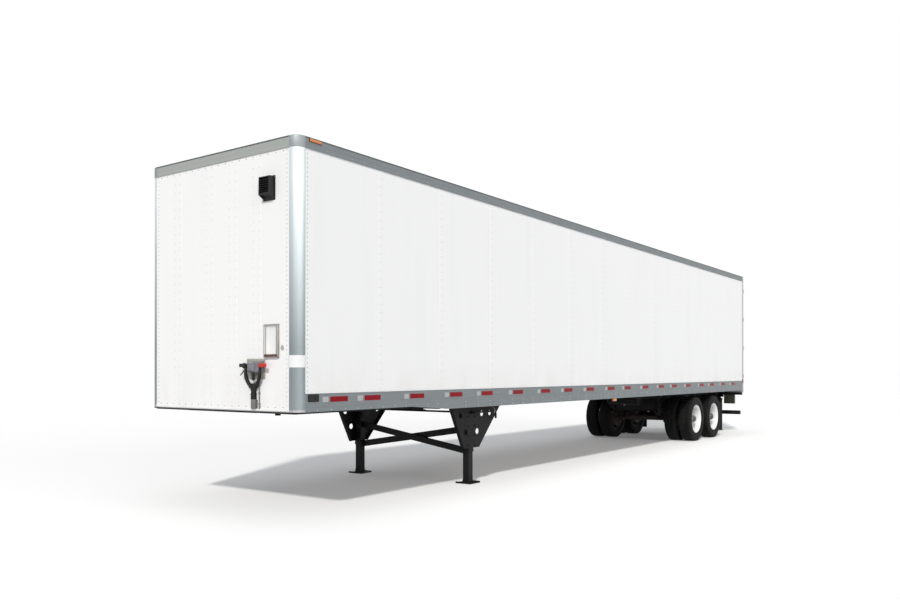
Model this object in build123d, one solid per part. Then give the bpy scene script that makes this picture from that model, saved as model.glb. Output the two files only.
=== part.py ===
from build123d import *
import os
from math import cos, sin, sqrt, tau

# Dry van semi trailer: a box body on a sliding tandem, parked on its landing legs. Millimetres.
# Everything is laid out from the nose: x to the trailer's left, y rearwards from the face of
# the front corner posts, z up from the ground. save() moves it so that the origin is on the
# ground below the middle of the whole trailer.

# Overall sizes
LENGTH = 16154  # nose to the rear face of the rear frame
WIDTH = 2591  # over the rails
HEIGHT = 4115  # ground to roof
HALF = WIDTH / 2
FIT = 0.3  # gap between pieces that slide or rest on each other

# Box body
RAIL_T = 6  # web of the top and bottom rails
PANEL_T = 30  # side and front walls
CORNER_R = 120  # round front corner posts
POST_T = RAIL_T + PANEL_T
ROOF_T = 4
BOW_H, BOW_W, BOW_PITCH = 38, 40, 610  # roof bows
TOP_RAIL_H = 120
SHELF_T, SHELF_W = 8, PANEL_T + 24  # shelf inside each rail
FLOOR_T = 35
BEAM_H, BEAM_W, BEAM_T, BEAM_PITCH = 102, 57, 6, 305  # crossmembers
FIRST_BEAM_Y = 2225
RAIL_Z = 1098  # lower edge of the side rails
RAIL_TOP_Z = 1353
RAIL_STEP_Z = 1152  # lower edge above the coupler
RAIL_STEP_Y, RAIL_SLOPE_Y = 1950, 2700  # the step ends, the full depth starts
BEAM_LIFT = 5  # crossmembers above the rails' lower edge
SILL_Z, SILL_TOP_Z = 1146, 1180  # front sill

ROOF_Z = HEIGHT - ROOF_T  # underside of the roof sheet
TOP_RAIL_Z = HEIGHT - TOP_RAIL_H
SHELF_Z = ROOF_Z - BOW_H - SHELF_T  # top of the walls
BEAM_Z = RAIL_Z + BEAM_LIFT
FLOOR_Z = BEAM_Z + BEAM_H
FLOOR_TOP_Z = FLOOR_Z + FLOOR_T

# Upper coupler and kingpin
COUPLER_Z = 1131  # underside of the plate
COUPLER_T, COUPLER_HALF = 10, HALF - 75.5
COUPLER_Y = 30  # front edge of the plate
COUPLER_RIB_T = 8
KINGPIN_Y = 914
# Kingpin steps from the plate down: radius, length
KINGPIN_STEPS = ((36.5, 34), (25.4, 31), (35.7, 19))

# Rear frame and doors
REAR_D = 100
REAR_Y = LENGTH - REAR_D
POST_W = 60
STOP_W = 20  # door stop inside the frame
DOOR_T, SEAL_T = 45, 6
SILL_DROP = 58  # rear sill below the side rails
SILL_LIP = 35  # door's recess below the floor
DOOR_GAP, CENTRE_GAP = 8, 10
EYE_R = 14  # door hinges
PIN_BACK = 45  # hinge pin behind the door's outer face
HINGE_COUNT, HINGE_END = 4, 260
EYE_H, EAR_T = 50, 14
STRAP_L, STRAP_T = 300, 8
ROD_R, ROD_BACK = 13.5, 28  # lock rods
# Lock rods of one door: distance from the middle, handle height, side the handle points to
LOCK_RODS = ((280, 1480, 1), (HALF - 415.5, 1620, -1))
HANDLE_L, HANDLE_H, HANDLE_T = 330, 28, 12
CAM_W, CAM_H = 60, 70
KEEPER_T, KEEPER_GAP = 12, 8
GUIDE_W, GUIDE_H, GUIDES = 50, 44, 4
TAIL_REACH = PIN_BACK + EYE_R
DOOR_X = (CENTRE_GAP / 2, HALF - POST_W - DOOR_GAP)
DOOR_Z = (FLOOR_TOP_Z - SILL_LIP + DOOR_GAP, TOP_RAIL_Z - DOOR_GAP)
PIN_X, PIN_Y = HALF - EYE_R, LENGTH + PIN_BACK

# Landing gear
LEG_X, LEG_Y = HALF - 265.5, 3575
RAM_W, LEG_T = 100, 7  # inner leg and wall of the outer leg
LEG_W = RAM_W + 2 * (FIT + LEG_T)
LEG_Z = 450  # foot of the outer leg
RAM_LAP = 250
SHOE_W, SHOE_T, SHOE_RISE, SHOE_LIP = 254, 12, 22, 26
SHOE_EAR_L, SHOE_EAR_H, SHOE_EAR_T = 100, 70, 12
WING_T, WING_FLANGE = 8, 45
WING_Z = 505
# Wing plate outline: y from the leg, at its foot and at its top
WING_FOOT, WING_TOP = (-185, 195), (-495, 772)
# Holes in the wing plate: y from the leg, z, radius
WING_HOLES = (
    (-280, 975, 42), (-145, 735, 42), (145, 735, 42), (265, 985, 40), (475, 985, 36),
)
BRACE_Z = (463, 767)  # lower and upper ends of the cross braces
BRACE_W, BRACE_T = 96, 8
SHAFT_R, SHAFT_Z = 14, 1010
GEARBOX = (70, 190)  # thickness and length
GEARBOX_Z = (890, 1090)
CRANK_R, CRANK_ARM, CRANK_GRIP = 11, 560, 110

# Sliding tandem
AXLE_MID_Y, AXLE_SPREAD = LENGTH - 3011, 1245
AXLES_Y = (AXLE_MID_Y - AXLE_SPREAD / 2, AXLE_MID_Y + AXLE_SPREAD / 2)
TYRE_R, TYRE_W = 508, 275
AXLE_Z = TYRE_R
DUAL_X = HALF - 311.5  # face where the twin wheels bolt together
DUAL_HALF = 171.5  # each wheel's middle from that face
SLIDE_X, SLIDE_W, SLIDE_T = DUAL_X - 424, 90, 9
SLIDE_Z, SLIDE_Y = 1000, (LENGTH - 5554, LENGTH - 254)
BOGIE_W, BOGIE_H = 80, 110
BOGIE_Y = (AXLE_MID_Y - 1300, AXLE_MID_Y + 1330)
BOGIE_BEAM_W, BOGIE_BEAM_IN = 100, 200  # crossbeams, and how far the end ones are set in
BOGIE_Z = SLIDE_Z - BOGIE_H
HANGER_T, HANGER_L, HANGER_Z, HANGER_GAP = 10, 170, 610, 5
HANGER_PAD_L = 90  # block that the end of the spring bears on
SPRING_W, SPRING_HALF, SPRING_CAMBER, SPRING_Z = 75, 540, 60, 735
LEAF_T = 16
LEAVES = (SPRING_HALF, 400, 260)  # half length of each leaf
EQUALIZER_HALF, EQUALIZER_H = 190, 70
HANGERS_Y = (AXLES_Y[0] - SPRING_HALF, AXLE_MID_Y, AXLES_Y[1] + SPRING_HALF)
AXLE_R, AXLE_END, SPINDLE_R = 63.5, DUAL_X - 54, 38
SEAT_L = 150
CHAMBER_X, CHAMBER_R, CHAMBER_L = SLIDE_X - 180, 80, 230
CHAMBER_BACK, CHAMBER_RISE = 65, 90  # from the axle's tube and above its middle
BRACKET_W, BRACKET_T = 120, 10
TANK_R, TANK_L, TANK_DROP = 120, 2 * CHAMBER_X, 20
TANK_BEAM = 30  # the tank hangs from this crossmember
SADDLE_L, SADDLE_W, SADDLE_IN = 140, 50, 90
FLAP_Y, FLAP_Z, FLAP_X, FLAP_T = AXLE_MID_Y + 1257, (140, 900), (DUAL_X - 294, HALF - 15.5), 8
FLAP_ARM_W = 40

# Wheels
FLATS = 36  # sides of the tyres and rims
SHOULDER_W, SHOULDER_H = 22, 26
RIM_W, RIM_R, RIM_T = 232, 306, 16
DISC_T, DISC_R, DISH_D = 11, 196, 60
HAND_HOLE_R, HAND_HOLES = 33, 2
HUB_R, HUB_X = 85, DUAL_X + 216
HUB_BORE_R, HUB_FACE = SPINDLE_R + FIT, 5  # bore, and its floor behind the spindle's end
SPINDLE_END = DUAL_X + 166

# Rear guard and lamps
GUARD_HALF, GUARD_W, GUARD_Z = HALF - 75.5, 100, 460
GUARD_POST_X, GUARD_POST_W, GUARD_GUSSET, GUSSET_T = GUARD_HALF - 560, 90, 350, 12
SILL_DROP_Z = RAIL_Z - SILL_DROP  # lower edge of the rear frame
LAMP_BOX_X, LAMP_BOX_Z, LAMP_BOX_D = (HALF - 495.5, HALF - 215.5), 740, 80
LAMP_R, LAMP_T = 52, 12
LAMP_SPOTS = (0.26, 0.74)  # the round lamps, along the width of their box
HEADER_LAMP, HEADER_LAMP_X = (100, 28), (-150, 0, 150, HALF - 145.5, 145.5 - HALF)
# Marker lamps on each side: y from and to, z from and to
SIDE_LAMPS = (
    ((160, 320), (1264, 1344)),
    ((174, 401), (TOP_RAIL_Z + 48, TOP_RAIL_Z + 108)),
    ((REAR_Y + 20, REAR_Y + 80), (1300, 1400)),
)
MID_LAMP_Y, MID_LAMP_Z, MID_LAMP_D = (LENGTH / 2 - 127, LENGTH / 2 + 3), 1046, 36

# Nose fittings, laid out from their own middle: x from and to, z from and to
NOSE_X = HALF - 644  # middle of the coupling plate
VENT, VENT_D = ((NOSE_X + 148.5, NOSE_X + 292.5), (3445, 3715)), 90
VENT_SLOTS, VENT_RIM, SLOT_D = 6, 12, 40
HOLDER, HOLDER_D, HOLDER_T = ((NOSE_X + 143.5, NOSE_X + 369.5), (1743, 2105)), 26, 8
HOLDER_POCKET, HOLDER_BACK = 54, 4
COUPLING, COUPLING_D = ((NOSE_X - 148.5, NOSE_X + 148.5), (1510, 1733)), 8
SOCKET_R, SOCKET_L, SOCKET_DIP = 34, 62, 8
GLAD_X, GLAD_Z = (NOSE_X - 116.5, NOSE_X + 116.5), 1650
GLAD_STUB, GLAD_STUB_L = 28, 45
GLAD_HEAD_W, GLAD_HEAD_T, GLAD_HEAD_Z, GLAD_CORNER = 60, 32, (GLAD_Z - 50, GLAD_Z + 20), 16
# Covers that take the lines down to the chassis: x from and to, z from and to, depth
CONDUITS = (
    ((NOSE_X - 64.5, NOSE_X + 11.5), (SILL_TOP_Z, 1289), 40),
    ((NOSE_X + 51.5, NOSE_X + 65.5), (SILL_TOP_Z, 1489), 14),
)
HOSE_R, HOSE_IN = 9, 22
HOSE_DROP, HOSE_RISE = 95, 115  # straight runs below the coupling and above the cover
NOSE_REACH = VENT_D - RAIL_T
NOSE_SHIFT = (NOSE_REACH - TAIL_REACH - LENGTH) / 2

os.makedirs("parts", exist_ok=True)


def box(x, y, z):
    """A block between two values on each axis."""
    middle = Pos((x[0] + x[1]) / 2, (y[0] + y[1]) / 2, (z[0] + z[1]) / 2)
    return middle * Box(abs(x[1] - x[0]), abs(y[1] - y[0]), abs(z[1] - z[0]))


def prism_x(outline, x0, x1):
    """An outline of (y, z) points, drawn out from x0 to x1."""
    face = make_face(Polyline(*[(x0, y, z) for y, z in outline], close=True))
    return extrude(face, x1 - x0, dir=(1, 0, 0))


def prism_y(outline, y0, y1):
    """An outline of (x, z) points, drawn out from y0 to y1."""
    face = make_face(Polyline(*[(x, y0, z) for x, z in outline], close=True))
    return extrude(face, y1 - y0, dir=(0, 1, 0))


def prism_z(outline, z0, z1):
    """An outline of (x, y) points, drawn up from z0 to z1."""
    face = make_face(Polyline(*[(x, y, z0) for x, y in outline], close=True))
    return extrude(face, z1 - z0, dir=(0, 0, 1))


def rod(start, end, radius):
    """A round bar between two points."""
    line = Vector(end) - Vector(start)
    place = Plane(start, z_dir=line)
    return place * Cylinder(radius, line.length, align=(Align.CENTER, Align.CENTER, Align.MIN))


def pair(shape):
    """A piece on the left with its twin on the right."""
    return [shape, mirror(shape, Plane.YZ)]


def plan(inset, y_end, z0, z1):
    """The body's plan with its round front corners, drawn in by inset, as a slab."""
    x, y, r = HALF - inset, inset, CORNER_R - inset
    outline = [
        Line((r - x, y), (x - r, y)),
        CenterArc((x - r, y + r), r, -90, 90),
        Line((x, y + r), (x, y_end)),
        Line((x, y_end), (-x, y_end)),
        Line((-x, y_end), (-x, y + r)),
        CenterArc((r - x, y + r), r, 180, 90),
    ]
    return extrude(Pos(0, 0, z0) * make_face(outline), z1 - z0)


def nose_ring(outer, inner, z0, z1):
    """The front of the plan between two insets, back to the end of the corner posts."""
    end = CORNER_R * 2
    ring = plan(outer, end, z0, z1) - plan(inner, end + 1, z0 - 1, z1 + 1)
    return ring - box((-WIDTH, WIDTH), (CORNER_R, end + 1), (z0 - 1, z1 + 1))


def save(node, *pieces):
    """Writes the pieces of one node."""
    solids = [solid for piece in pieces for solid in piece.solids()]
    place = Pos(0, NOSE_SHIFT, 0)
    export_step(place * Compound(solids), f"parts/{node}.step")


def beam_places():
    """The middle of each crossmember."""
    count = int((REAR_Y - BEAM_W - FIRST_BEAM_Y) // BEAM_PITCH) + 1
    return [FIRST_BEAM_Y + BEAM_PITCH * i for i in range(count)]


# ---- box body ----

def side_panel():
    """One side wall, between the corner post and the rear frame."""
    return box((HALF - POST_T, HALF - RAIL_T), (CORNER_R, REAR_Y), (FLOOR_Z + SHELF_T, SHELF_Z))


def front_wall():
    """The front wall, set back behind the faces of the corner posts."""
    edge = HALF - CORNER_R
    return box((-edge, edge), (RAIL_T, POST_T), (SILL_TOP_Z, SHELF_Z))


def corner_posts():
    """The two round front posts."""
    low = nose_ring(0, POST_T, SILL_TOP_Z, TOP_RAIL_Z)
    high = nose_ring(RAIL_T, POST_T, TOP_RAIL_Z, SHELF_Z)
    edge = HALF - CORNER_R
    return low + high - box((-edge, edge), (-1, CORNER_R), (0, HEIGHT))


def top_rails():
    """The side rails and the front rail that turns both corners, each with its inner shelf."""
    x = HALF - RAIL_T
    web = nose_ring(0, RAIL_T, TOP_RAIL_Z, ROOF_Z)
    shelf = nose_ring(RAIL_T, RAIL_T + SHELF_W, SHELF_Z, SHELF_Z + SHELF_T)
    side = [
        (HALF, TOP_RAIL_Z), (HALF, ROOF_Z), (x, ROOF_Z), (x, SHELF_Z + SHELF_T),
        (x - SHELF_W, SHELF_Z + SHELF_T), (x - SHELF_W, SHELF_Z), (x, SHELF_Z), (x, TOP_RAIL_Z),
    ]
    return [web + shelf, *pair(prism_y(side, CORNER_R, REAR_Y))]


def roof():
    """The roof sheet with the bows that hold it up."""
    sheet = plan(RAIL_T / 2, LENGTH, ROOF_Z, HEIGHT)
    edge = HALF - RAIL_T - FIT
    count = int((REAR_Y - BOW_PITCH) // BOW_PITCH)
    for i in range(count):
        y = BOW_PITCH * (i + 1)
        sheet += box((-edge, edge), (y - BOW_W / 2, y + BOW_W / 2), (ROOF_Z - BOW_H, ROOF_Z))
    return sheet


def bottom_rail():
    """A side rail, shallower above the coupler, with the shelf that carries the wall."""
    web = [
        (CORNER_R, RAIL_STEP_Z), (RAIL_STEP_Y, RAIL_STEP_Z), (RAIL_SLOPE_Y, RAIL_Z),
        (REAR_Y, RAIL_Z), (REAR_Y, RAIL_TOP_Z), (CORNER_R, RAIL_TOP_Z),
    ]
    shelf = box((HALF - POST_T, HALF - RAIL_T), (CORNER_R, REAR_Y), (FLOOR_Z, FLOOR_Z + SHELF_T))
    return prism_x(web, HALF - RAIL_T, HALF) + shelf


def crossmembers():
    """The channels that carry the floor from rail to rail."""
    w, t, z0, z1 = BEAM_W / 2, BEAM_T, BEAM_Z, FLOOR_Z
    outline = [
        (-w, z0), (w, z0), (w, z0 + t), (t - w, z0 + t), (t - w, z1 - t), (w, z1 - t), (w, z1), (-w, z1),
    ]
    beam = prism_x(outline, RAIL_T - HALF, HALF - RAIL_T)
    return [Pos(0, y, 0) * beam for y in beam_places()]


def kingpin():
    """The pin that locks into the tractor's fifth wheel."""
    profile, z = [(0, COUPLER_Z)], COUPLER_Z
    for radius, length in KINGPIN_STEPS:
        profile += [(radius, z), (radius, z - length)]
        z -= length
    profile.append((0, z))
    face = make_face(Polyline(*[(r, 0, z) for r, z in profile], close=True))
    return Pos(0, KINGPIN_Y, 0) * revolve(face, Axis.Z)


def upper_coupler():
    """The plate that rests on the tractor, with its kingpin, and the ribs up to rails and floor."""
    top, edge = COUPLER_Z + COUPLER_T, HALF - RAIL_T
    slope = COUPLER_T + 4
    plate = [
        (COUPLER_Y, top), (COUPLER_Y + slope, COUPLER_Z), (RAIL_STEP_Y, COUPLER_Z), (RAIL_STEP_Y, top),
    ]
    shape = prism_x(plate, -COUPLER_HALF, COUPLER_HALF) + kingpin()
    for y in (CORNER_R, KINGPIN_Y - 240, KINGPIN_Y + 240, RAIL_STEP_Y - COUPLER_RIB_T):
        shape += box((-edge, edge), (y, y + COUPLER_RIB_T), (RAIL_STEP_Z, FLOOR_Z))
        shape += box((-COUPLER_HALF, COUPLER_HALF), (y, y + COUPLER_RIB_T), (top, RAIL_STEP_Z))
    for x in (-COUPLER_HALF, -300, 300 - COUPLER_RIB_T, COUPLER_HALF - COUPLER_RIB_T):
        shape += box((x, x + COUPLER_RIB_T), (CORNER_R, RAIL_STEP_Y), (top, FLOOR_Z))
    return shape


# ---- rear frame and doors ----

def hinge_places():
    """The middle of each hinge's eye."""
    low, high = DOOR_Z[0] + HINGE_END, DOOR_Z[1] - HINGE_END
    return [low + (high - low) * i / (HINGE_COUNT - 1) for i in range(HINGE_COUNT)]


def rear_frame():
    """Posts, header and sill in one frame, with its hinge ears and pins and the rods' keepers."""
    shape = box((-HALF, HALF), (REAR_Y, LENGTH), (SILL_DROP_Z, ROOF_Z))
    inner = HALF - POST_W
    shape -= box((-inner, inner), (LENGTH - DOOR_T - SEAL_T, LENGTH + 1),
                 (FLOOR_TOP_Z - SILL_LIP, TOP_RAIL_Z))
    opening = inner - STOP_W
    shape -= box((-opening, opening), (REAR_Y - 1, LENGTH), (FLOOR_TOP_Z, TOP_RAIL_Z - STOP_W))
    for z in hinge_places():
        ear = EYE_H / 2 + FIT
        for low in (z - ear - EAR_T, z + ear):
            for side in pair(box((PIN_X - EYE_R, HALF), (LENGTH, PIN_Y + EYE_R), (low, low + EAR_T))):
                shape += side
    for x, _, _ in LOCK_RODS:
        for side in (-1, 1):
            lug = x + side * (CAM_W / 2 + KEEPER_GAP + KEEPER_T / 2)
            span = (lug - KEEPER_T / 2, lug + KEEPER_T / 2)
            for z in (DOOR_Z[1] + DOOR_GAP, DOOR_Z[0] - DOOR_GAP - CAM_H):
                keeper = box(span, (LENGTH, LENGTH + ROD_BACK + ROD_R), (z, z + CAM_H))
                for both in pair(keeper):
                    shape += both
    return shape


def door():
    """The left door."""
    return box(DOOR_X, (LENGTH - DOOR_T, LENGTH), DOOR_Z)


def door_fittings():
    """The left door's hinge straps with their eyes, and the stand-offs behind the lock rods."""
    pieces = []
    for z in hinge_places():
        x, low, high = DOOR_X[1], z - EYE_H / 2, z + EYE_H / 2
        outline = [
            (x - STRAP_L, LENGTH), (x, LENGTH),
            (PIN_X + EYE_R * 0.4, PIN_Y - EYE_R * 0.9), (PIN_X - EYE_R * 0.6, PIN_Y + EYE_R * 0.8),
            (x - STRAP_T, LENGTH + STRAP_T), (x - STRAP_L, LENGTH + STRAP_T),
        ]
        eye = rod((PIN_X, PIN_Y, low), (PIN_X, PIN_Y, high), EYE_R)
        pieces.append(prism_z(outline, low, high) + eye)
    length, top = DOOR_Z[1] - DOOR_Z[0], LENGTH + ROD_BACK - ROD_R - FIT
    half_w, half_h = GUIDE_W / 2, GUIDE_H / 2
    for x, _, _ in LOCK_RODS:
        for i in range(GUIDES):
            z = DOOR_Z[0] + length * (i + 0.5) / GUIDES
            pieces.append(box((x - half_w, x + half_w), (LENGTH, top), (z - half_h, z + half_h)))
    return pieces


def lock_rods():
    """The left door's two lock rods, each with its cams and handle."""
    rods = []
    y = LENGTH + ROD_BACK
    low, high = DOOR_Z[0] - DOOR_GAP - CAM_H, DOOR_Z[1] + DOOR_GAP + CAM_H
    for x, handle_z, side in LOCK_RODS:
        shape = rod((x, y, low), (x, y, high), ROD_R)
        for z in (low, high - CAM_H):
            shape += box((x - CAM_W / 2, x + CAM_W / 2), (y - ROD_R, y + ROD_R), (z, z + CAM_H))
        span = sorted((x, x + side * HANDLE_L))
        shape += box(span, (y - HANDLE_T / 2, y + HANDLE_T / 2), (handle_z, handle_z + HANDLE_H))
        rods.append(shape)
    return rods


# ---- landing gear ----

def landing_leg():
    """The left outer leg, a square tube that hangs from the crossmembers."""
    half, hole, top = LEG_W / 2, RAM_W / 2 + FIT, BEAM_Z - WING_T
    tube = box((LEG_X - half, LEG_X + half), (LEG_Y - half, LEG_Y + half), (LEG_Z, top))
    bore = (LEG_Z - 1, LEG_Z + RAM_LAP + 60)
    return tube - box((LEG_X - hole, LEG_X + hole), (LEG_Y - hole, LEG_Y + hole), bore)


def gearbox():
    """The left leg's gearbox, on its inner face."""
    t, length = GEARBOX
    inner = LEG_X - LEG_W / 2
    return box((inner - t, inner), (LEG_Y - length / 2, LEG_Y + length / 2), GEARBOX_Z)


def leg_ram():
    """The left inner leg."""
    half = RAM_W / 2
    return box((LEG_X - half, LEG_X + half), (LEG_Y - half, LEG_Y + half), (SHOE_T, LEG_Z + RAM_LAP))


def sand_shoe():
    """The left foot: a plate with turned-up edges and two ears."""
    half, side, t = SHOE_W / 2, LEG_X + RAM_W / 2, SHOE_T
    rise, lip = SHOE_RISE, SHOE_LIP
    x0, x1 = LEG_X - half, LEG_X + half
    outline = [
        (x0, rise), (x0 + lip, 0), (x1 - lip, 0), (x1, rise),
        (x1 - t / 2, rise + t), (x1 - lip - t / 2, t), (x0 + lip + t / 2, t), (x0 + t / 2, rise + t),
    ]
    shape = prism_y(outline, LEG_Y - half, LEG_Y + half)
    for x in (side + FIT, side - RAM_W - FIT - SHOE_EAR_T):
        foot, top = SHOE_EAR_L / 2, SHOE_EAR_L / 4
        ear = [
            (LEG_Y - foot, SHOE_T), (LEG_Y + foot, SHOE_T),
            (LEG_Y + top, SHOE_EAR_H), (LEG_Y - top, SHOE_EAR_H),
        ]
        shape += prism_x(ear, x, x + SHOE_EAR_T)
    return shape


def wing_plate():
    """The left leg's holed plate, with flanges down its edges and along its top."""
    x, top = LEG_X + LEG_W / 2, BEAM_Z
    foot, head = [LEG_Y + y for y in WING_FOOT], [LEG_Y + y for y in WING_TOP]
    outline = [(foot[0], WING_Z), (foot[1], WING_Z), (head[1], top), (head[0], top)]
    plate = prism_x(outline, x, x + WING_T)
    for y, z, r in WING_HOLES:
        plate -= rod((x - 1, LEG_Y + y, z), (x + WING_T + 1, LEG_Y + y, z), r)
    for side, low, high in ((1, foot[0], head[0]), (-1, foot[1], head[1])):
        t = side * WING_T
        flange = [(low, WING_Z), (low + t, WING_Z), (high + t, top), (high, top)]
        plate += prism_x(flange, x - WING_FLANGE, x + WING_T)
    return plate + box((LEG_X - LEG_W / 2, x + WING_T), (head[0], head[1]), (top - WING_T, top))


def leg_brace():
    """Two angle bars that cross between the legs, back to back."""
    inner = LEG_X - LEG_W / 2
    low, high = BRACE_Z
    drop = BRACE_W / 2
    bars = []
    for side in (-1, 1):
        ends = [(-inner, low), (inner, high)] if side > 0 else [(-inner, high), (inner, low)]
        (x0, z0), (x1, z1) = ends
        flat = [(x0, z0 - drop), (x1, z1 - drop), (x1, z1 + drop), (x0, z0 + drop)]
        rib = [(x0, z0 + drop - BRACE_T), (x1, z1 + drop - BRACE_T), (x1, z1 + drop), (x0, z0 + drop)]
        y = sorted((LEG_Y, LEG_Y + side * BRACE_T))
        lip = sorted((LEG_Y, LEG_Y + side * BRACE_W / 2))
        bars.append(prism_y(flat, *y) + prism_y(rib, *lip))
    return bars


def cross_shaft():
    """The shaft that turns both legs' gears together."""
    end = LEG_X - LEG_W / 2 - GEARBOX[0]
    return rod((-end, LEG_Y, SHAFT_Z), (end, LEG_Y, SHAFT_Z), SHAFT_R)


def crank_handle():
    """The crank on the left leg, stowed along the rail."""
    x0 = LEG_X + LEG_W / 2 + WING_T
    x1, grip_y = x0 + 60, LEG_Y + CRANK_ARM
    points = [
        (x0, LEG_Y, SHAFT_Z), (x1, LEG_Y, SHAFT_Z), (x1, grip_y, SHAFT_Z),
        (x1, grip_y + CRANK_GRIP / 2, SHAFT_Z - CRANK_GRIP),
    ]
    section = Plane(points[0], z_dir=(1, 0, 0)) * Circle(CRANK_R)
    return sweep(section, Polyline(*points), transition=Transition.RIGHT)


# ---- tandem ----

def slide_rail():
    """The left rail that the tandem slides along, an open channel below the crossmembers."""
    x0, x1, t = SLIDE_X - SLIDE_W / 2, SLIDE_X + SLIDE_W / 2, SLIDE_T
    outline = [
        (x0, SLIDE_Z), (x1, SLIDE_Z), (x1, SLIDE_Z + t), (x0 + t, SLIDE_Z + t),
        (x0 + t, BEAM_Z - t), (x1, BEAM_Z - t), (x1, BEAM_Z), (x0, BEAM_Z),
    ]
    return prism_y(outline, *SLIDE_Y)


def bogie_member():
    """The left long member of the sliding frame, below its slide rail."""
    return box((SLIDE_X - BOGIE_W / 2, SLIDE_X + BOGIE_W / 2), BOGIE_Y, (BOGIE_Z, SLIDE_Z))


def bogie_crossbeams():
    """The beams between the two long members."""
    inner, half = SLIDE_X - BOGIE_W / 2, BOGIE_BEAM_W / 2
    places = (BOGIE_Y[0] + BOGIE_BEAM_IN, AXLE_MID_Y, BOGIE_Y[1] - BOGIE_BEAM_IN)
    return [box((-inner, inner), (y - half, y + half), (BOGIE_Z, SLIDE_Z)) for y in places]


def spring_hangers():
    """The plates that hold each end of the springs and the rocking beam, with their blocks."""
    top, foot, wide = HANGER_L / 2, HANGER_L * 0.3, SPRING_W / 2 + HANGER_GAP
    pieces = []
    for y in HANGERS_Y:
        outline = [(y - top, BOGIE_Z), (y - foot, HANGER_Z), (y + foot, HANGER_Z), (y + top, BOGIE_Z)]
        for x in (SLIDE_X - wide - HANGER_T, SLIDE_X + wide):
            pieces += pair(prism_x(outline, x, x + HANGER_T))
    half = HANGER_PAD_L / 2
    for y in (HANGERS_Y[0], HANGERS_Y[2]):
        pad = box((SLIDE_X - wide, SLIDE_X + wide), (y - half, y + half), (SPRING_Z + FIT, BOGIE_Z))
        pieces += pair(pad)
    return pieces


def equalizer():
    """The left rocking beam between the two springs, held between its hanger plates."""
    half, wide = EQUALIZER_HALF, SPRING_W / 2 + HANGER_GAP - FIT
    y, z = AXLE_MID_Y, SPRING_Z + FIT
    shoulder, crown, top = z + EQUALIZER_H * 0.36, half * 0.32, z + EQUALIZER_H
    outline = [
        (y - half, z), (y + half, z), (y + half, shoulder),
        (y + crown, top), (y - crown, top), (y - half, shoulder),
    ]
    return prism_x(outline, SLIDE_X - wide, SLIDE_X + wide)


def leaf_spring(y):
    """One left spring: leaves stacked below each other on the same curve."""
    curve = (SPRING_HALF**2 + SPRING_CAMBER**2) / (2 * SPRING_CAMBER)
    middle = SPRING_Z - SPRING_CAMBER

    def rise(half):
        return middle + curve - sqrt(curve**2 - half**2)

    shape = None
    for i, half in enumerate(LEAVES):
        x0, top, low = SLIDE_X - SPRING_W / 2, -i * LEAF_T, -(i + 1) * LEAF_T
        end = rise(half)
        outline = [
            ThreePointArc((x0, y - half, end + top), (x0, y, middle + top), (x0, y + half, end + top)),
            Line((x0, y + half, end + top), (x0, y + half, end + low)),
            ThreePointArc((x0, y + half, end + low), (x0, y, middle + low), (x0, y - half, end + low)),
            Line((x0, y - half, end + low), (x0, y - half, end + top)),
        ]
        leaf = extrude(make_face(outline), SPRING_W, dir=(1, 0, 0))
        shape = leaf if shape is None else shape + leaf
    return shape


def axle(y):
    """One axle: tube, spindles, spring seats and brake chamber brackets."""
    shape = rod((-AXLE_END, y, AXLE_Z), (AXLE_END, y, AXLE_Z), AXLE_R)
    shape += rod((-SPINDLE_END, y, AXLE_Z), (SPINDLE_END, y, AXLE_Z), SPINDLE_R)
    seat_top = SPRING_Z - SPRING_CAMBER - len(LEAVES) * LEAF_T
    half, deep = SPRING_W / 2, SEAT_L / 2
    for seat in pair(box((SLIDE_X - half, SLIDE_X + half), (y - deep, y + deep), (AXLE_Z, seat_top))):
        shape += seat
    plate_y, middle, t = y + AXLE_R + CHAMBER_BACK - BRACKET_T, AXLE_Z + CHAMBER_RISE, BRACKET_T
    half = BRACKET_W / 2
    arm = box((CHAMBER_X - t, CHAMBER_X + t), (y, plate_y), (AXLE_Z, middle + 2 * t))
    across = (CHAMBER_X - half, CHAMBER_X + half)
    arm += box(across, (plate_y, plate_y + t), (middle - half, middle + half))
    for both in pair(arm):
        shape += both
    return shape


def brake_chamber(y):
    """One left brake chamber, behind the axle."""
    start, z = y + AXLE_R + CHAMBER_BACK, AXLE_Z + CHAMBER_RISE
    return rod((CHAMBER_X, start, z), (CHAMBER_X, start + CHAMBER_L, z), CHAMBER_R)


def air_tank():
    """The air tank on its two saddles, between the slide rails."""
    half, y = TANK_L / 2, beam_places()[TANK_BEAM]
    z, deep = BEAM_Z - TANK_R - TANK_DROP, SADDLE_L / 2
    shape = rod((-half, y, z), (half, y, z), TANK_R)
    x = half - SADDLE_IN
    for saddle in pair(box((x - SADDLE_W, x), (y - deep, y + deep), (z + TANK_R / 2, BEAM_Z))):
        shape += saddle
    return shape


def mud_flap():
    """The left flap behind the rear wheels."""
    return box(FLAP_X, (FLAP_Y - FLAP_T / 2, FLAP_Y + FLAP_T / 2), FLAP_Z)


def flap_arm():
    """The square bar that holds the left flap, out from the sliding frame."""
    z, half = FLAP_Z[1], FLAP_ARM_W / 2
    return box((SLIDE_X + BOGIE_W / 2, FLAP_X[1]), (FLAP_Y - half, FLAP_Y + half), (z, z + FLAP_ARM_W))


# ---- wheels ----

def flat_sided(profile):
    """A closed profile of (x, radius) points carried round a line along x in flat sides."""
    turns = [tau * i / FLATS for i in range(FLATS)]
    rings = [[(x, r * cos(a), r * sin(a)) for a in turns] for x, r in profile]
    sides = []
    for near, far in zip(rings, rings[1:] + rings[:1]):
        for i in range(FLATS):
            corners = [near[i - 1], near[i], far[i], far[i - 1]]
            sides.append(make_face(Polyline(*corners, close=True)))
    return Solid(Shell(sides))


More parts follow.
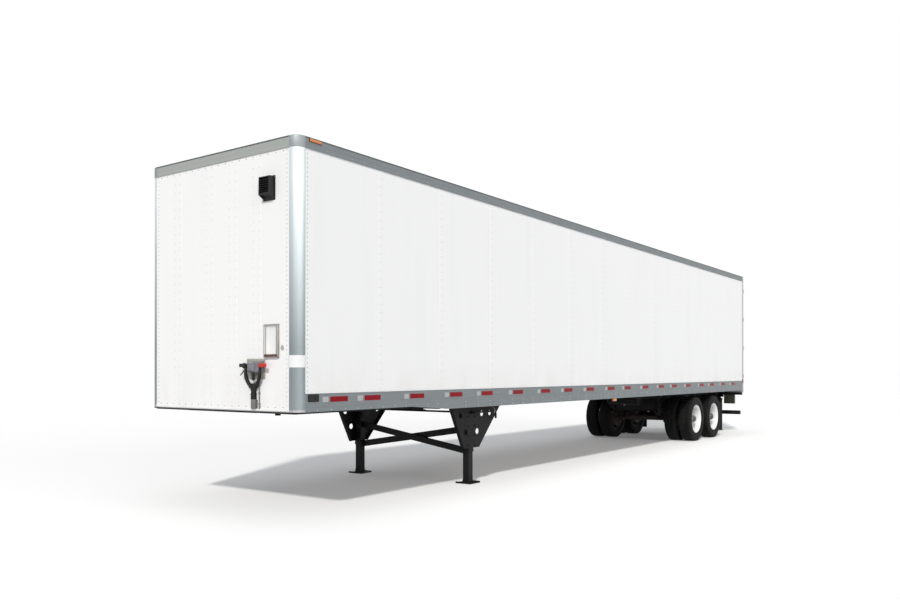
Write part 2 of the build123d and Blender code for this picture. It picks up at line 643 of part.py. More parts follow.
def tyre():
    """A tyre around x = 0."""
    half, crown = TYRE_W / 2, TYRE_W / 2 - SHOULDER_W
    low, bore = TYRE_R - SHOULDER_H, RIM_R + FIT
    return flat_sided([
        (-half, bore), (-half, low), (-crown, TYRE_R), (crown, TYRE_R), (half, low), (half, bore),
    ])


def twin_wheel():
    """The left twin wheels with their hub: two deep dishes back to back."""
    end, inside = DUAL_HALF + RIM_W / 2, RIM_R - RIM_T
    half = [(DISC_T, HUB_R / 2), (DISC_T, DISC_R), (DISC_T + DISH_D, inside), (end, inside), (end, RIM_R)]
    profile = [(DUAL_X - x, r) for x, r in half] + [(DUAL_X + x, r) for x, r in reversed(half)]
    shape = flat_sided(profile)
    middle = (DISC_R + inside) / 2
    for i in range(HAND_HOLES):
        hole = rod((DUAL_X - DISH_D, 0, middle), (DUAL_X + DISH_D, 0, middle), HAND_HOLE_R)
        shape -= Rot(90 + 360 * i / HAND_HOLES, 0, 0) * hole
    shape += rod((DUAL_X - DISC_T, 0, 0), (HUB_X, 0, 0), HUB_R)
    return shape - rod((DUAL_X - end, 0, 0), (SPINDLE_END + HUB_FACE, 0, 0), HUB_BORE_R)


TYRE, TWIN_WHEEL = tyre(), twin_wheel()


def wheel_set(side, place, y):
    """Writes one end of an axle: twin tyres on their twin wheels."""
    tyres = [Pos(DUAL_X + out * DUAL_HALF, 0, 0) * TYRE for out in (-1, 1)]
    for name, pieces in (("tyres", tyres), ("wheels", [TWIN_WHEEL])):
        if side == "right":
            pieces = [mirror(piece, Plane.YZ) for piece in pieces]
        save(f"{name}_{side}_{place}", *[Pos(0, y, AXLE_Z) * piece for piece in pieces])


# ---- rear guard and lamps ----

def underride_guard():
    """The bar across the tail, on two channels that hang from the rear frame."""
    front, top = LENGTH - GUARD_W, GUARD_Z + GUARD_W
    half, gusset_half = GUARD_POST_W / 2, GUSSET_T / 2
    shape = box((-GUARD_HALF, GUARD_HALF), (front, LENGTH), (GUARD_Z, top))
    post = box((GUARD_POST_X - half, GUARD_POST_X + half), (front, LENGTH), (top, SILL_DROP_Z))
    gusset = [(front, top + GUARD_W), (front, BEAM_Z), (front - GUARD_GUSSET, BEAM_Z)]
    post += prism_x(gusset, GUARD_POST_X - gusset_half, GUARD_POST_X + gusset_half)
    for both in pair(post):
        shape += both
    return shape


def lamp_box():
    """The left lamp box below the rear sill."""
    return box(LAMP_BOX_X, (LENGTH - LAMP_BOX_D, LENGTH), (LAMP_BOX_Z, SILL_DROP_Z))


def rear_lamps():
    """Round lamps on the lamp boxes, and small ones on the header."""
    (x0, x1), z = LAMP_BOX_X, (LAMP_BOX_Z + SILL_DROP_Z) / 2
    lamps, back = [], LENGTH + LAMP_T
    for share in LAMP_SPOTS:
        lamp_x = x0 + (x1 - x0) * share
        lamps += pair(flat_lamp((lamp_x, LENGTH, z), (lamp_x, back, z)))
    half_w, half_h = (size / 2 for size in HEADER_LAMP)
    z = (TOP_RAIL_Z + ROOF_Z) / 2 + HEADER_LAMP[1]
    for x in HEADER_LAMP_X:
        lamps.append(box((x - half_w, x + half_w), (LENGTH, back), (z - half_h, z + half_h)))
    return lamps


def flat_lamp(start, end):
    """An eight-sided stand for a round lamp."""
    line = Vector(end) - Vector(start)
    return extrude(Plane(start, z_dir=line) * RegularPolygon(LAMP_R, 8), line.length)


def marker_lamps():
    """The lamps along both sides."""
    lamps = []
    for y, z in SIDE_LAMPS:
        lamps += pair(box((HALF, HALF + LAMP_T), y, z))
    return lamps + pair(box((HALF - MID_LAMP_D, HALF), MID_LAMP_Y, (MID_LAMP_Z, RAIL_Z)))


# ---- nose fittings ----

def front_vent():
    """The hooded vent high on the front wall, with its louvres."""
    x, (low, high) = VENT
    front = RAIL_T - VENT_D
    outline = [(RAIL_T, low), (front, low), (front, high - 2 * VENT_RIM), (RAIL_T, high)]
    shape = prism_x(outline, *x)
    pitch = (high - low - 4 * VENT_RIM) / VENT_SLOTS
    for i in range(VENT_SLOTS):
        z = low + 2 * VENT_RIM + pitch * i
        middle = z + pitch * 0.45
        inner = front + SLOT_D
        slot = [(front - 1, z), (front - 1, middle), (inner, middle * 2 - z), (inner, middle)]
        shape -= prism_x(slot, x[0] + VENT_RIM, x[1] - VENT_RIM)
    return shape


def document_holder():
    """The flat holder on the front wall, open at the front above its pocket."""
    (x0, x1), (z0, z1) = HOLDER
    t, front = HOLDER_T, RAIL_T - HOLDER_D
    shape = box((x0, x1), (front, RAIL_T), (z0, z1))
    return shape - box((x0 + t, x1 - t), (front - 1, RAIL_T - HOLDER_BACK), (z0 + HOLDER_POCKET, z1 - t))


def coupling_plate():
    """The plate with the hooded electric socket."""
    face, r = RAIL_T - COUPLING_D, SOCKET_R
    shape = box(COUPLING[0], (face, RAIL_T), COUPLING[1])
    shape += rod((NOSE_X, face, GLAD_Z), (NOSE_X, face - SOCKET_L, GLAD_Z - SOCKET_DIP), r)
    lid = (face - SOCKET_L - SOCKET_DIP, face - SOCKET_L + SOCKET_DIP)
    return shape + box((NOSE_X - r, NOSE_X + r), lid, (GLAD_Z - r, GLAD_Z + r))


def glad_hand(x):
    """One air coupling: a stub from the plate with its flat head."""
    face, half, wide = RAIL_T - COUPLING_D, GLAD_STUB / 2, GLAD_HEAD_W / 2
    end = face - GLAD_STUB_L
    stub = box((x - half, x + half), (end, face), (GLAD_Z - half, GLAD_Z + half))
    head = box((x - wide, x + wide), (end - GLAD_HEAD_T / 2, end + GLAD_HEAD_T / 2), GLAD_HEAD_Z)
    return stub + chamfer(head.edges().filter_by(Axis.Y), GLAD_CORNER)


def hose(x, end_x):
    """One air line from a coupling down to the cover."""
    y, start = RAIL_T - COUPLING_D - GLAD_STUB_L, GLAD_HEAD_Z[0]
    _, (_, end), depth = CONDUITS[0]
    end_y = RAIL_T - depth / 2
    points = [
        (x, y, start), (x, y, start - HOSE_DROP), (end_x, end_y, end + HOSE_RISE), (end_x, end_y, end),
    ]
    section = Plane(points[0], z_dir=(0, 0, -1)) * RegularPolygon(HOSE_R, 8)
    return sweep(section, Polyline(*points), transition=Transition.RIGHT)


def conduits():
    """The two covers that take the lines down to the chassis."""
    return [box(x, (RAIL_T - depth, RAIL_T), z) for x, z, depth in CONDUITS]


# ---- write the nodes ----

for side, shape in zip(("left", "right"), pair(side_panel())):
    save(f"side_panel_{side}", shape)
save("front_wall", front_wall())
save("corner_posts", corner_posts())
save("top_rails", *top_rails())
save("roof", roof())
save("bottom_rails", *pair(bottom_rail()))
save("floor", plan(POST_T, REAR_Y, FLOOR_Z, FLOOR_TOP_Z))
save("crossmembers", *crossmembers())
save("front_sill", nose_ring(0, POST_T, SILL_Z, SILL_TOP_Z))
save("upper_coupler", upper_coupler())
save("rear_frame", rear_frame())
save("underride_guard", underride_guard())
save("lamp_boxes", *pair(lamp_box()))
save("rear_lamps", *rear_lamps())
save("marker_lamps", *marker_lamps())
save("landing_legs", *pair(landing_leg()))
save("leg_gearboxes", *pair(gearbox()))
save("leg_rams", *pair(leg_ram()))
save("sand_shoes", *pair(sand_shoe()))
save("wing_plates", *pair(wing_plate()))
save("leg_braces", *leg_brace())
save("cross_shaft", cross_shaft())
save("crank_handle", crank_handle())
save("slide_rails", *pair(slide_rail()))
save("bogie_members", *pair(bogie_member()))
save("bogie_crossbeams", *bogie_crossbeams())
save("spring_hangers", *spring_hangers())
save("equalizers", *pair(equalizer()))
save("leaf_springs", *[s for y in AXLES_Y for s in pair(leaf_spring(y))])
save("axles", *[axle(y) for y in AXLES_Y])
save("brake_chambers", *[c for y in AXLES_Y for c in pair(brake_chamber(y))])
save("air_tank", air_tank())
save("mud_flaps", *pair(mud_flap()))
save("flap_arms", *pair(flap_arm()))
save("front_vent", front_vent())
save("document_holder", document_holder())
save("coupling_plate", coupling_plate())
save("glad_hands", *[glad_hand(x) for x in GLAD_X])
hose_ends = (CONDUITS[0][0][0] + HOSE_IN, CONDUITS[0][0][1] - HOSE_IN)
save("air_hoses", *[hose(x, end_x) for x, end_x in zip(GLAD_X, hose_ends)])
save("conduits", *conduits())

left_door = {"door": [door()], "door_fittings": door_fittings(), "lock_rods": lock_rods()}
for side in ("left", "right"):
    for node, pieces in left_door.items():
        if side == "right":
            pieces = [mirror(piece, Plane.YZ) for piece in pieces]
        save(f"{node}_{side}", *pieces)
    for place, y in zip(("front", "rear"), AXLES_Y):
        wheel_set(side, place, y)
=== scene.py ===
from math import pi, radians, tau

import bmesh
import bpy
from mathutils import Matrix, Vector


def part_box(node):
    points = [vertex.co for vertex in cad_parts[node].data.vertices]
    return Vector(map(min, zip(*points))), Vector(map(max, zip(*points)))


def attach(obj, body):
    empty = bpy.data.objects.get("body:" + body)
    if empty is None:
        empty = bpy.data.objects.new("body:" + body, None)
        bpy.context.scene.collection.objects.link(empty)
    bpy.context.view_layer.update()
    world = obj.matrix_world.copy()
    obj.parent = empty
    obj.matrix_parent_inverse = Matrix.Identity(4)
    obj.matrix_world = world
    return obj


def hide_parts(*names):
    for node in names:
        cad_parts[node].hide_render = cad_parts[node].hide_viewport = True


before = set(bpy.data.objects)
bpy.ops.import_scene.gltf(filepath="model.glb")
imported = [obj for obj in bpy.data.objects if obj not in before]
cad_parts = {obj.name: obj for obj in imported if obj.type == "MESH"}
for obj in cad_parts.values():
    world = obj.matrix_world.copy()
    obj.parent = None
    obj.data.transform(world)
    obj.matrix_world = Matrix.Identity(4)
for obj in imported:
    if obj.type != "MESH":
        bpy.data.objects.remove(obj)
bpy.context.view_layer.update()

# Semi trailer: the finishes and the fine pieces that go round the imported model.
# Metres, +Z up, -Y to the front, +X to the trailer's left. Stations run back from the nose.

# ---- places, read from the frame ----

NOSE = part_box("front_sill")[0][1]
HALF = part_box("front_sill")[1][0]
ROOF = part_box("roof")[1][2]
SILL_LOW, SILL_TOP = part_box("front_sill")[0][2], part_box("front_sill")[1][2]
RAIL_LOW, RAIL_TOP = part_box("bottom_rails")[0][2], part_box("bottom_rails")[1][2]
HEADER_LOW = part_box("top_rails")[0][2]
REAR_FRAME_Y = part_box("side_panel_left")[1][1]
CORNER_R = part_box("corner_posts")[1][1] - NOSE
AXLE_Z = (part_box("tyres_left_front")[0][2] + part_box("tyres_left_front")[1][2]) / 2
RAM_HALF = 0.050
LEG_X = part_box("leg_rams")[1][0] - RAM_HALF
LEG_Y = sum(corner[1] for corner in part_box("leg_rams")) / 2

SIDES = (("left", 1), ("right", -1))
AXLES = {
    place: sum(corner[1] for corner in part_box(f"tyres_left_{place}")) / 2
    for place in ("front", "rear")
}


def station(y):
    """A distance behind the nose, as a Y of the frame."""
    return NOSE + y


# ---- modelling by hand: short names for the operators ----

def only(piece):
    """Selects one piece and makes it the active one."""
    bpy.ops.object.select_all(action="DESELECT")
    piece.select_set(True)
    bpy.context.view_layer.objects.active = piece


def settle(piece):
    """Moves a piece's place into its mesh."""
    only(piece)
    bpy.ops.object.transform_apply(location=True, rotation=True, scale=True)
    return piece


def block(name, low, high, bevel=0.0, segments=1):
    """A box between two corners; a bevel eases its edges."""
    middle = [(a + b) / 2 for a, b in zip(low, high)]
    bpy.ops.mesh.primitive_cube_add(size=1, location=middle)
    piece = bpy.context.object
    piece.name = name
    piece.scale = [abs(b - a) for a, b in zip(low, high)]
    settle(piece)
    return rounded(piece, bevel, segments) if bevel else piece


def bar(name, start, end, radius, sides=24, bevel=0.0, segments=1):
    """A round bar between two points; a bevel eases its ends."""
    start, end = Vector(start), Vector(end)
    line = end - start
    bpy.ops.mesh.primitive_cylinder_add(
        vertices=sides, radius=radius, depth=line.length, location=(start + end) / 2,
        rotation=line.to_track_quat("Z", "Y").to_euler(),
    )
    piece = bpy.context.object
    piece.name = name
    settle(piece)
    return rounded(piece, bevel, segments) if bevel else piece


def modify(piece, kind, **settings):
    """Adds one modifier and applies it."""
    only(piece)
    step = piece.modifiers.new(kind, kind)
    for key, value in settings.items():
        setattr(step, key, value)
    bpy.ops.object.modifier_apply(modifier=step.name)
    return piece


def rounded(piece, width, segments=2):
    """Rounds the sharp edges."""
    return modify(piece, "BEVEL", width=width, segments=segments, limit_method="ANGLE",
                  angle_limit=radians(35))


def edit(piece, wanted=None, mode="FACE"):
    """Starts edit mode with the wanted faces selected, or nothing."""
    only(piece)
    bpy.ops.object.mode_set(mode="EDIT")
    bpy.ops.mesh.select_mode(type=mode)
    bpy.ops.mesh.select_all(action="DESELECT")
    if wanted:
        pick_faces(piece, wanted)


def pick_faces(piece, wanted):
    """Selects the faces whose centre and normal are wanted."""
    mesh = bmesh.from_edit_mesh(piece.data)
    for face in mesh.faces:
        face.select_set(bool(wanted(face.calc_center_median(), face.normal)))
    bmesh.update_edit_mesh(piece.data)


def facing(axis, sign):
    """Wants the faces that look along an axis, or against it."""
    return lambda middle, normal: getattr(normal, axis) * sign > 0.5


def pick_edges(piece, wanted):
    """Selects the edges whose two ends are wanted."""
    mesh = bmesh.from_edit_mesh(piece.data)
    for side in mesh.edges:
        side.select_set(bool(wanted(side.verts[0].co, side.verts[1].co)))
    bmesh.update_edit_mesh(piece.data)


def pick_all():
    """Selects everything in edit mode."""
    bpy.ops.mesh.select_all(action="SELECT")


def inset(thickness):
    """Insets the selected faces."""
    bpy.ops.mesh.inset(thickness=thickness)


def pull(*step):
    """Extrudes the selected faces by a step."""
    bpy.ops.mesh.extrude_region_move(TRANSFORM_OT_translate={"value": step})


def shift(*step):
    """Moves what is selected by a step."""
    bpy.ops.transform.translate(value=step)


def stretch(factors, centre):
    """Scales what is selected about a point."""
    bpy.ops.transform.resize(value=factors, center_override=centre)


def halve(point, out):
    """Keeps the half that lies beyond a plane, and closes it."""
    pick_all()
    bpy.ops.mesh.bisect(plane_co=point, plane_no=out, clear_inner=True, use_fill=True)


def done():
    """Leaves edit mode with the normals outwards."""
    pick_all()
    bpy.ops.mesh.normals_make_consistent(inside=False)
    bpy.ops.object.mode_set(mode="OBJECT")


def joined(name, pieces):
    """Joins pieces into one."""
    bpy.ops.object.select_all(action="DESELECT")
    for piece in pieces:
        piece.select_set(True)
    bpy.context.view_layer.objects.active = pieces[0]
    if len(pieces) > 1:
        bpy.ops.object.join()
    pieces[0].name = name
    return pieces[0]


def repeated(piece, matrices):
    """Copies a piece to each place, joins the copies and drops the pattern piece."""
    name = piece.name
    copies = []
    for matrix in matrices:
        copy = piece.copy()
        copy.data = piece.data.copy()
        copy.data.transform(matrix)
        if matrix.determinant() < 0:
            copy.data.flip_normals()
        bpy.context.collection.objects.link(copy)
        copies.append(copy)
    bpy.data.objects.remove(piece)
    return joined(name, copies)


def moved(piece, offsets):
    """Copies of a piece at these offsets."""
    return repeated(piece, [Matrix.Translation(offset) for offset in offsets])


def row(piece, count, step):
    """A row of copies, a step apart."""
    return modify(
        piece, "ARRAY", count=count, use_relative_offset=False, use_constant_offset=True,
        constant_offset_displace=step,
    )


def bar_x(name, start, end, y, z, *rest):
    """A round bar along X."""
    return bar(name, (start, y, z), (end, y, z), *rest)


def bar_y(name, x, start, end, z, *rest):
    """A round bar along Y."""
    return bar(name, (x, start, z), (x, end, z), *rest)


def bar_z(name, x, y, start, end, *rest):
    """A round bar along Z."""
    return bar(name, (x, y, start), (x, y, end), *rest)


def about(piece, count, centre, first=0.0):
    """Copies of a piece round a line along X."""
    back = Matrix.Translation(Vector(centre))
    turns = [Matrix.Rotation(first + tau * i / count, 4, "X") for i in range(count)]
    return repeated(piece, [back @ turn @ back.inverted() for turn in turns])


def both_sides(piece):
    """A piece on the left with its twin on the right."""
    return repeated(piece, [Matrix.Identity(4), Matrix.Scale(-1, 4, (1, 0, 0))])


def turned(name, centre, profile, sides=64, closed=False):
    """A shape from the lathe, along X: profile is (place along X, radius) pairs from the centre."""
    x, radius = profile[0]
    capped = "NOTHING" if closed else "NGON"
    bpy.ops.mesh.primitive_circle_add(
        vertices=sides, radius=radius, fill_type=capped, rotation=(0, pi / 2, 0),
        location=(centre[0] + x, centre[1], centre[2]),
    )
    piece = bpy.context.object
    piece.name = name
    settle(piece)
    edit(piece, mode="EDGE")
    pick_all()
    for (x0, r0), (x1, r1) in zip(profile, profile[1:] + (profile[:1] if closed else [])):
        bpy.ops.mesh.extrude_edges_move(TRANSFORM_OT_translate={"value": (x1 - x0, 0, 0)})
        ratio = r1 / r0
        stretch((1, ratio, ratio), (centre[0] + x1, centre[1], centre[2]))
    if closed:
        pick_all()
        bpy.ops.mesh.remove_doubles(threshold=1e-5)
    else:
        bpy.ops.mesh.edge_face_add()
    done()
    return piece


def outline_plate(name, points, axis, start, end):
    """A plate from an outline in the plane across an axis, as thick as start to end."""
    bpy.ops.mesh.primitive_circle_add(vertices=len(points), radius=1, fill_type="NGON")
    piece = bpy.context.object
    piece.name = name
    mesh = piece.data
    for vertex, (a, b) in zip(mesh.vertices, points):
        vertex.co = {"x": (start, a, b), "y": (a, start, b), "z": (a, b, start)}[axis]
    edit(piece)
    pick_all()
    pull(*{"x": (end - start, 0, 0), "y": (0, end - start, 0), "z": (0, 0, end - start)}[axis])
    done()
    return piece


def pipe(name, points, radius, sides):
    """A bent pipe along a smooth line through the space near its points."""
    curve = bpy.data.curves.new(name, "CURVE")
    curve.dimensions = "3D"
    curve.bevel_depth = radius
    curve.bevel_resolution = max(sides // 4 - 1, 1)
    curve.use_fill_caps = True
    spline = curve.splines.new("NURBS")
    spline.points.add(len(points) - 1)
    for point, spot in zip(spline.points, points):
        point.co = (*spot, 1)
    spline.order_u = 3
    spline.use_endpoint_u = True
    spline.resolution_u = 8
    piece = bpy.data.objects.new(name, curve)
    bpy.context.collection.objects.link(piece)
    return piece


def as_mesh(piece):
    """Turns a curve into a mesh."""
    only(piece)
    bpy.ops.object.convert(target="MESH")
    return bpy.context.object


def remade(name, bevel, segments):
    """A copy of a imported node, with its triangles merged and its edges softened."""
    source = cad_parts[name]
    piece = bpy.data.objects.new(f"{name}_fine", source.data.copy())
    bpy.context.collection.objects.link(piece)
    piece.data.materials.clear()
    edit(piece)
    pick_all()
    bpy.ops.mesh.remove_doubles(threshold=1e-5)
    bpy.ops.mesh.dissolve_limited(angle_limit=radians(1.5))
    done()
    return rounded(piece, bevel, segments)


def place(piece, finish, slot, body="trailer", replaces=(), angle=35):
    """Gives a piece its finish and body, and hides the imported nodes that it replaces; the slot argument
    is not used.
    """
    if piece.type == "MESH":
        only(piece)
        bpy.ops.object.shade_smooth_by_angle(angle=radians(angle))
    piece.data.materials.clear()
    piece.data.materials.append(finish)
    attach(piece, body)
    if replaces:
        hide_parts(*replaces)
    return piece


def dress(finish, *names):
    """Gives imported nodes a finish."""
    for name in names:
        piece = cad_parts[name]
        if not piece.material_slots:
            piece.data.materials.append(finish)
        for holder in piece.material_slots:
            holder.material = finish


# ---- finishes ----

def plain(name, colour, roughness, metallic=0.0, **sockets):
    """A finish with one colour, ready for its patterns."""
    finish = bpy.data.materials.new(name)
    finish.use_nodes = True
    finish.diffuse_color = (*colour, 1)
    shader = finish.node_tree.nodes["Principled BSDF"]
    shader.inputs["Base Color"].default_value = (*colour, 1)
    shader.inputs["Roughness"].default_value = roughness
    shader.inputs["Metallic"].default_value = metallic
    for socket, value in sockets.items():
        shader.inputs[socket.replace("_", " ")].default_value = value
    return finish


def node(finish, kind, links=None, **settings):
    """Adds a node; links are input name or number to an output."""
    made = finish.node_tree.nodes.new(kind)
    for key, value in settings.items():
        setattr(made, key, value)
    for socket, source in (links or {}).items():
        finish.node_tree.links.new(source, made.inputs[socket])
    return made


def shade(colour, amount):
    """A darker colour."""
    return tuple(c * amount for c in colour)


def where_on(finish):
    """The object's own coordinates."""
    return node(finish, "ShaderNodeTexCoord").outputs["Object"]


def coordinate(finish, axis):
    """The object's own coordinate along one axis."""
    return node(finish, "ShaderNodeSeparateXYZ", {"Vector": where_on(finish)}).outputs[axis]


def span(finish, source, low=0.0, high=1.0, to_low=0.0, to_high=1.0):
    """Spreads a pattern's values between low and high over another range."""
    made = node(finish, "ShaderNodeMapRange", {"Value": source})
    for socket, value in (("From Min", low), ("From Max", high), ("To Min", to_low), ("To Max", to_high)):
        made.inputs[socket].default_value = value
    return made.outputs["Result"]


def spots(finish, scale, drawn=(1, 1, 1), detail=4.0, roughness=0.55):
    """Noise over the object's own coordinates."""
    laid = node(finish, "ShaderNodeMapping", {"Vector": where_on(finish)})
    laid.inputs["Scale"].default_value = drawn
    noise = node(finish, "ShaderNodeTexNoise", {"Vector": laid.outputs["Vector"]})
    noise.inputs["Scale"].default_value = scale
    noise.inputs["Detail"].default_value = detail
    noise.inputs["Roughness"].default_value = roughness
    return noise.outputs["Fac"]


def height(finish, low, high, axis="Z"):
    """0 at a low place and 1 at a high one along an axis."""
    return span(finish, coordinate(finish, axis), low, high)


def times(finish, a, b):
    """The product of two patterns."""
    made = node(finish, "ShaderNodeMath", {0: a, 1: b}, operation="MULTIPLY")
    return made.outputs["Value"]


def tint(finish, pattern, colour, most=1.0):
    """Lays a second colour over the finish where the pattern is high."""
    tree = finish.node_tree
    target = tree.nodes["Principled BSDF"].inputs["Base Color"]
    amount = span(finish, pattern, to_high=most)
    mixer = node(finish, "ShaderNodeMix", {"Factor": amount}, data_type="RGBA")
    if target.is_linked:
        tree.links.new(target.links[0].from_socket, mixer.inputs["A"])
    else:
        mixer.inputs["A"].default_value = target.default_value
    mixer.inputs["B"].default_value = (*colour, 1)
    tree.links.new(mixer.outputs["Result"], target)


def gloss(finish, pattern, low, high):
    """Lets the roughness follow a pattern."""
    tree = finish.node_tree
    rough = span(finish, pattern, to_low=low, to_high=high)
    tree.links.new(rough, tree.nodes["Principled BSDF"].inputs["Roughness"])


def relief(finish, pattern, strength, depth):
    """Raises the surface with a pattern."""
    tree = finish.node_tree
    target = tree.nodes["Principled BSDF"].inputs["Normal"]
    bump = node(finish, "ShaderNodeBump", {"Height": pattern})
    bump.inputs["Strength"].default_value = strength
    bump.inputs["Distance"].default_value = depth
    if target.is_linked:
        tree.links.new(target.links[0].from_socket, bump.inputs["Normal"])
    tree.links.new(bump.outputs["Normal"], target)


def panel_white():
    """White coil-coated sheet: faint waves, washed streaks and road dust near the rail."""
    finish = plain("panel_white", (0.885, 0.887, 0.883), 0.34, Specular_IOR_Level=0.35)
    streaks = spots(finish, 2.2, (1.0, 1.6, 0.12), 6.0)
    tint(finish, span(finish, streaks, 0.52, 0.78), (0.81, 0.825, 0.825), 0.5)
    dust = times(finish, span(finish, spots(finish, 3.0, (1, 1, 0.4)), 0.35, 0.75),
                 height(finish, 1.75, 1.30))
    tint(finish, dust, (0.66, 0.63, 0.58), 0.30)
    gloss(finish, streaks, 0.26, 0.44)
    relief(finish, spots(finish, 1.1, (1, 1, 0.5), 1.5), 0.25, 0.006)
    return finish


def roof_sheet():
    """Translucent-white roof skin with dust in its ripples."""
    finish = plain("roof_sheet", (0.70, 0.71, 0.71), 0.65, Specular_IOR_Level=0.2)
    tint(finish, span(finish, spots(finish, 1.6, (1, 0.35, 1)), 0.45, 0.8), (0.56, 0.55, 0.51), 0.45)
    relief(finish, spots(finish, 1.4, (0.6, 2.0, 1), 2.0), 0.3, 0.008)
    return finish


def drawn_metal(name, colour, along, roughness=0.38, metallic=0.85, dirt=0.35):
    """Drawn or brushed metal whose fine lines run along an axis, with oxide patches."""
    finish = plain(name, colour, roughness, metallic)
    drawn = {"x": (0.02, 1, 1), "y": (1, 0.02, 1), "z": (1, 1, 0.02)}[along]
    lines = spots(finish, 160, drawn, 3.0)
    patches = spots(finish, 2.4, detail=6.0)
    tint(finish, span(finish, lines, 0.35, 0.8), shade(colour, 0.55), 0.35)
    tint(finish, span(finish, patches, 0.5, 0.8), shade(colour, 0.7), dirt)
    gloss(finish, lines, roughness - 0.08, roughness + 0.14)
    relief(finish, lines, 0.12, 0.0004)
    return finish


def chassis_paint(name="chassis_paint", dust=0.16, colour=(0.007, 0.007, 0.0075)):
    """Black chassis paint, orange-peeled, with grey road film and chips to primer."""
    finish = plain(name, colour, 0.46, Specular_IOR_Level=0.16)
    film = spots(finish, 5.0, detail=7.0)
    tint(finish, span(finish, film, 0.48, 0.82), (0.075, 0.072, 0.066), dust)
    chips = spots(finish, 46, detail=2.0)
    tint(finish, span(finish, chips, 0.72, 0.76), (0.13, 0.055, 0.03), 0.7)
    gloss(finish, film, 0.34, 0.66)
    relief(finish, spots(finish, 240, detail=2.0), 0.10, 0.0005)
    return finish


def rusty_steel(name, colour, rust, amount):
    """Bare or thinly painted steel with rust bloom."""
    finish = plain(name, colour, 0.6, 0.2)
    bloom = spots(finish, 11, detail=8.0)
    tint(finish, span(finish, bloom, 0.42, 0.62), rust, amount)
    tint(finish, span(finish, spots(finish, 60, detail=5.0), 0.55, 0.75), shade(rust, 0.4), 0.5)
    gloss(finish, bloom, 0.5, 0.85)
    relief(finish, spots(finish, 90, detail=4.0), 0.25, 0.0012)
    return finish


def tyre_rubber():
    """Tyre rubber, greyed by dust towards the tread."""
    finish = plain("tyre_rubber", (0.007, 0.007, 0.0073), 0.72, Specular_IOR_Level=0.12)
    dust = spots(finish, 7, detail=7.0)
    tint(finish, span(finish, dust, 0.4, 0.8), (0.028, 0.0265, 0.024), 0.5)
    gloss(finish, dust, 0.6, 0.85)
    relief(finish, spots(finish, 420, detail=2.0), 0.15, 0.0006)
    return finish


def wheel_paint():
    """White wheel enamel with brake dust in its corners, painted near black on the inner wheels as painted
    shade and dirt.
    """
    finish = plain("wheel_paint", (0.80, 0.80, 0.79), 0.3, Coat_Weight=0.2)
    dust = spots(finish, 9, detail=7.0)
    tint(finish, span(finish, dust, 0.5, 0.8), (0.40, 0.37, 0.33), 0.35)
    # painted shade and dirt: the inner wheel of each pair, deep under the body, is painted near black
    outward = node(finish, "ShaderNodeMath", {0: coordinate(finish, "X")},
                   operation="ABSOLUTE").outputs["Value"]
    tint(finish, span(finish, outward, 1.00, 0.96), (0.032, 0.027, 0.023), 0.92)
    gloss(finish, dust, 0.25, 0.5)
    relief(finish, spots(finish, 300, detail=2.0), 0.06, 0.0004)
    return finish


def floor_boards():
    """Laminated hardwood strips along the trailer, worn by pallets."""
    finish = plain("floor_boards", (0.30, 0.19, 0.10), 0.6)
    turned_round = node(finish, "ShaderNodeMapping", {"Vector": where_on(finish)})
    turned_round.inputs["Rotation"].default_value = (0, 0, pi / 2)
    bricks = node(finish, "ShaderNodeTexBrick", {"Vector": turned_round.outputs["Vector"]}, offset=0.37)
    for socket, value in (("Scale", 1.0), ("Brick Width", 1.1), ("Row Height", 0.033),
                          ("Mortar Size", 0.001)):
        bricks.inputs[socket].default_value = value
    bricks.inputs["Color1"].default_value = (0.25, 0.25, 0.25, 1)
    bricks.inputs["Color2"].default_value = (0.9, 0.9, 0.9, 1)
    tint(finish, bricks.outputs["Color"], (0.42, 0.29, 0.16), 0.8)
    tint(finish, span(finish, spots(finish, 18, (1, 0.08, 1), 6.0), 0.5, 0.75), (0.13, 0.08, 0.045), 0.6)
    relief(finish, bricks.outputs["Fac"], 0.4, -0.001)
    return finish


def lens(name, colour):
    """Ribbed lamp lens."""
    finish = plain(name, colour, 0.12, Coat_Weight=0.6, Specular_IOR_Level=0.6)
    ribs = node(finish, "ShaderNodeTexWave", {"Vector": where_on(finish)}, bands_direction="Z")
    ribs.inputs["Scale"].default_value = 40
    tint(finish, ribs.outputs["Fac"], shade(colour, 0.45), 0.5)
    relief(finish, ribs.outputs["Fac"], 0.4, 0.001)
    return finish


def reflective_tape(name, colour):
    """Prismatic tape: small cells pressed into a bright film."""
    finish = plain(name, colour, 0.38, Specular_IOR_Level=0.14)
    cells = node(finish, "ShaderNodeTexVoronoi", {"Vector": where_on(finish)}, feature="DISTANCE_TO_EDGE")
    cells.inputs["Scale"].default_value = 160
    tint(finish, span(finish, cells.outputs["Distance"], 0.06, 0.0), shade(colour, 0.6), 0.5)
    tint(finish, span(finish, spots(finish, 14, detail=5.0), 0.5, 0.8), shade(colour, 0.7), 0.35)
    return finish


def moulded(name, colour, roughness=0.5, grain=220):
    """Moulded plastic or rubber with a fine pressed grain."""
    finish = plain(name, colour, roughness, Specular_IOR_Level=0.3)
    pressed = spots(finish, grain, detail=2.0)
    tint(finish, span(finish, spots(finish, 8, detail=6.0), 0.5, 0.8),
         tuple(min(c * 2.2 + 0.02, 1) for c in colour), 0.4)
    gloss(finish, pressed, roughness - 0.08, roughness + 0.12)
    relief(finish, pressed, 0.2, 0.0006)
    return finish


def post_metal():
    """Brushed aluminium posts with a painted reflection: bright above and painted darker towards the sill.
    """
    finish = drawn_metal("post_metal", (0.66, 0.72, 0.745), "z", 0.40, 0.9, 0.08)
    # painted reflection and shade: the posts are painted darker from high on the wall down to the sill
    tint(finish, height(finish, HEADER_LOW - 0.35, 1.85), (0.235, 0.27, 0.28))
    return finish


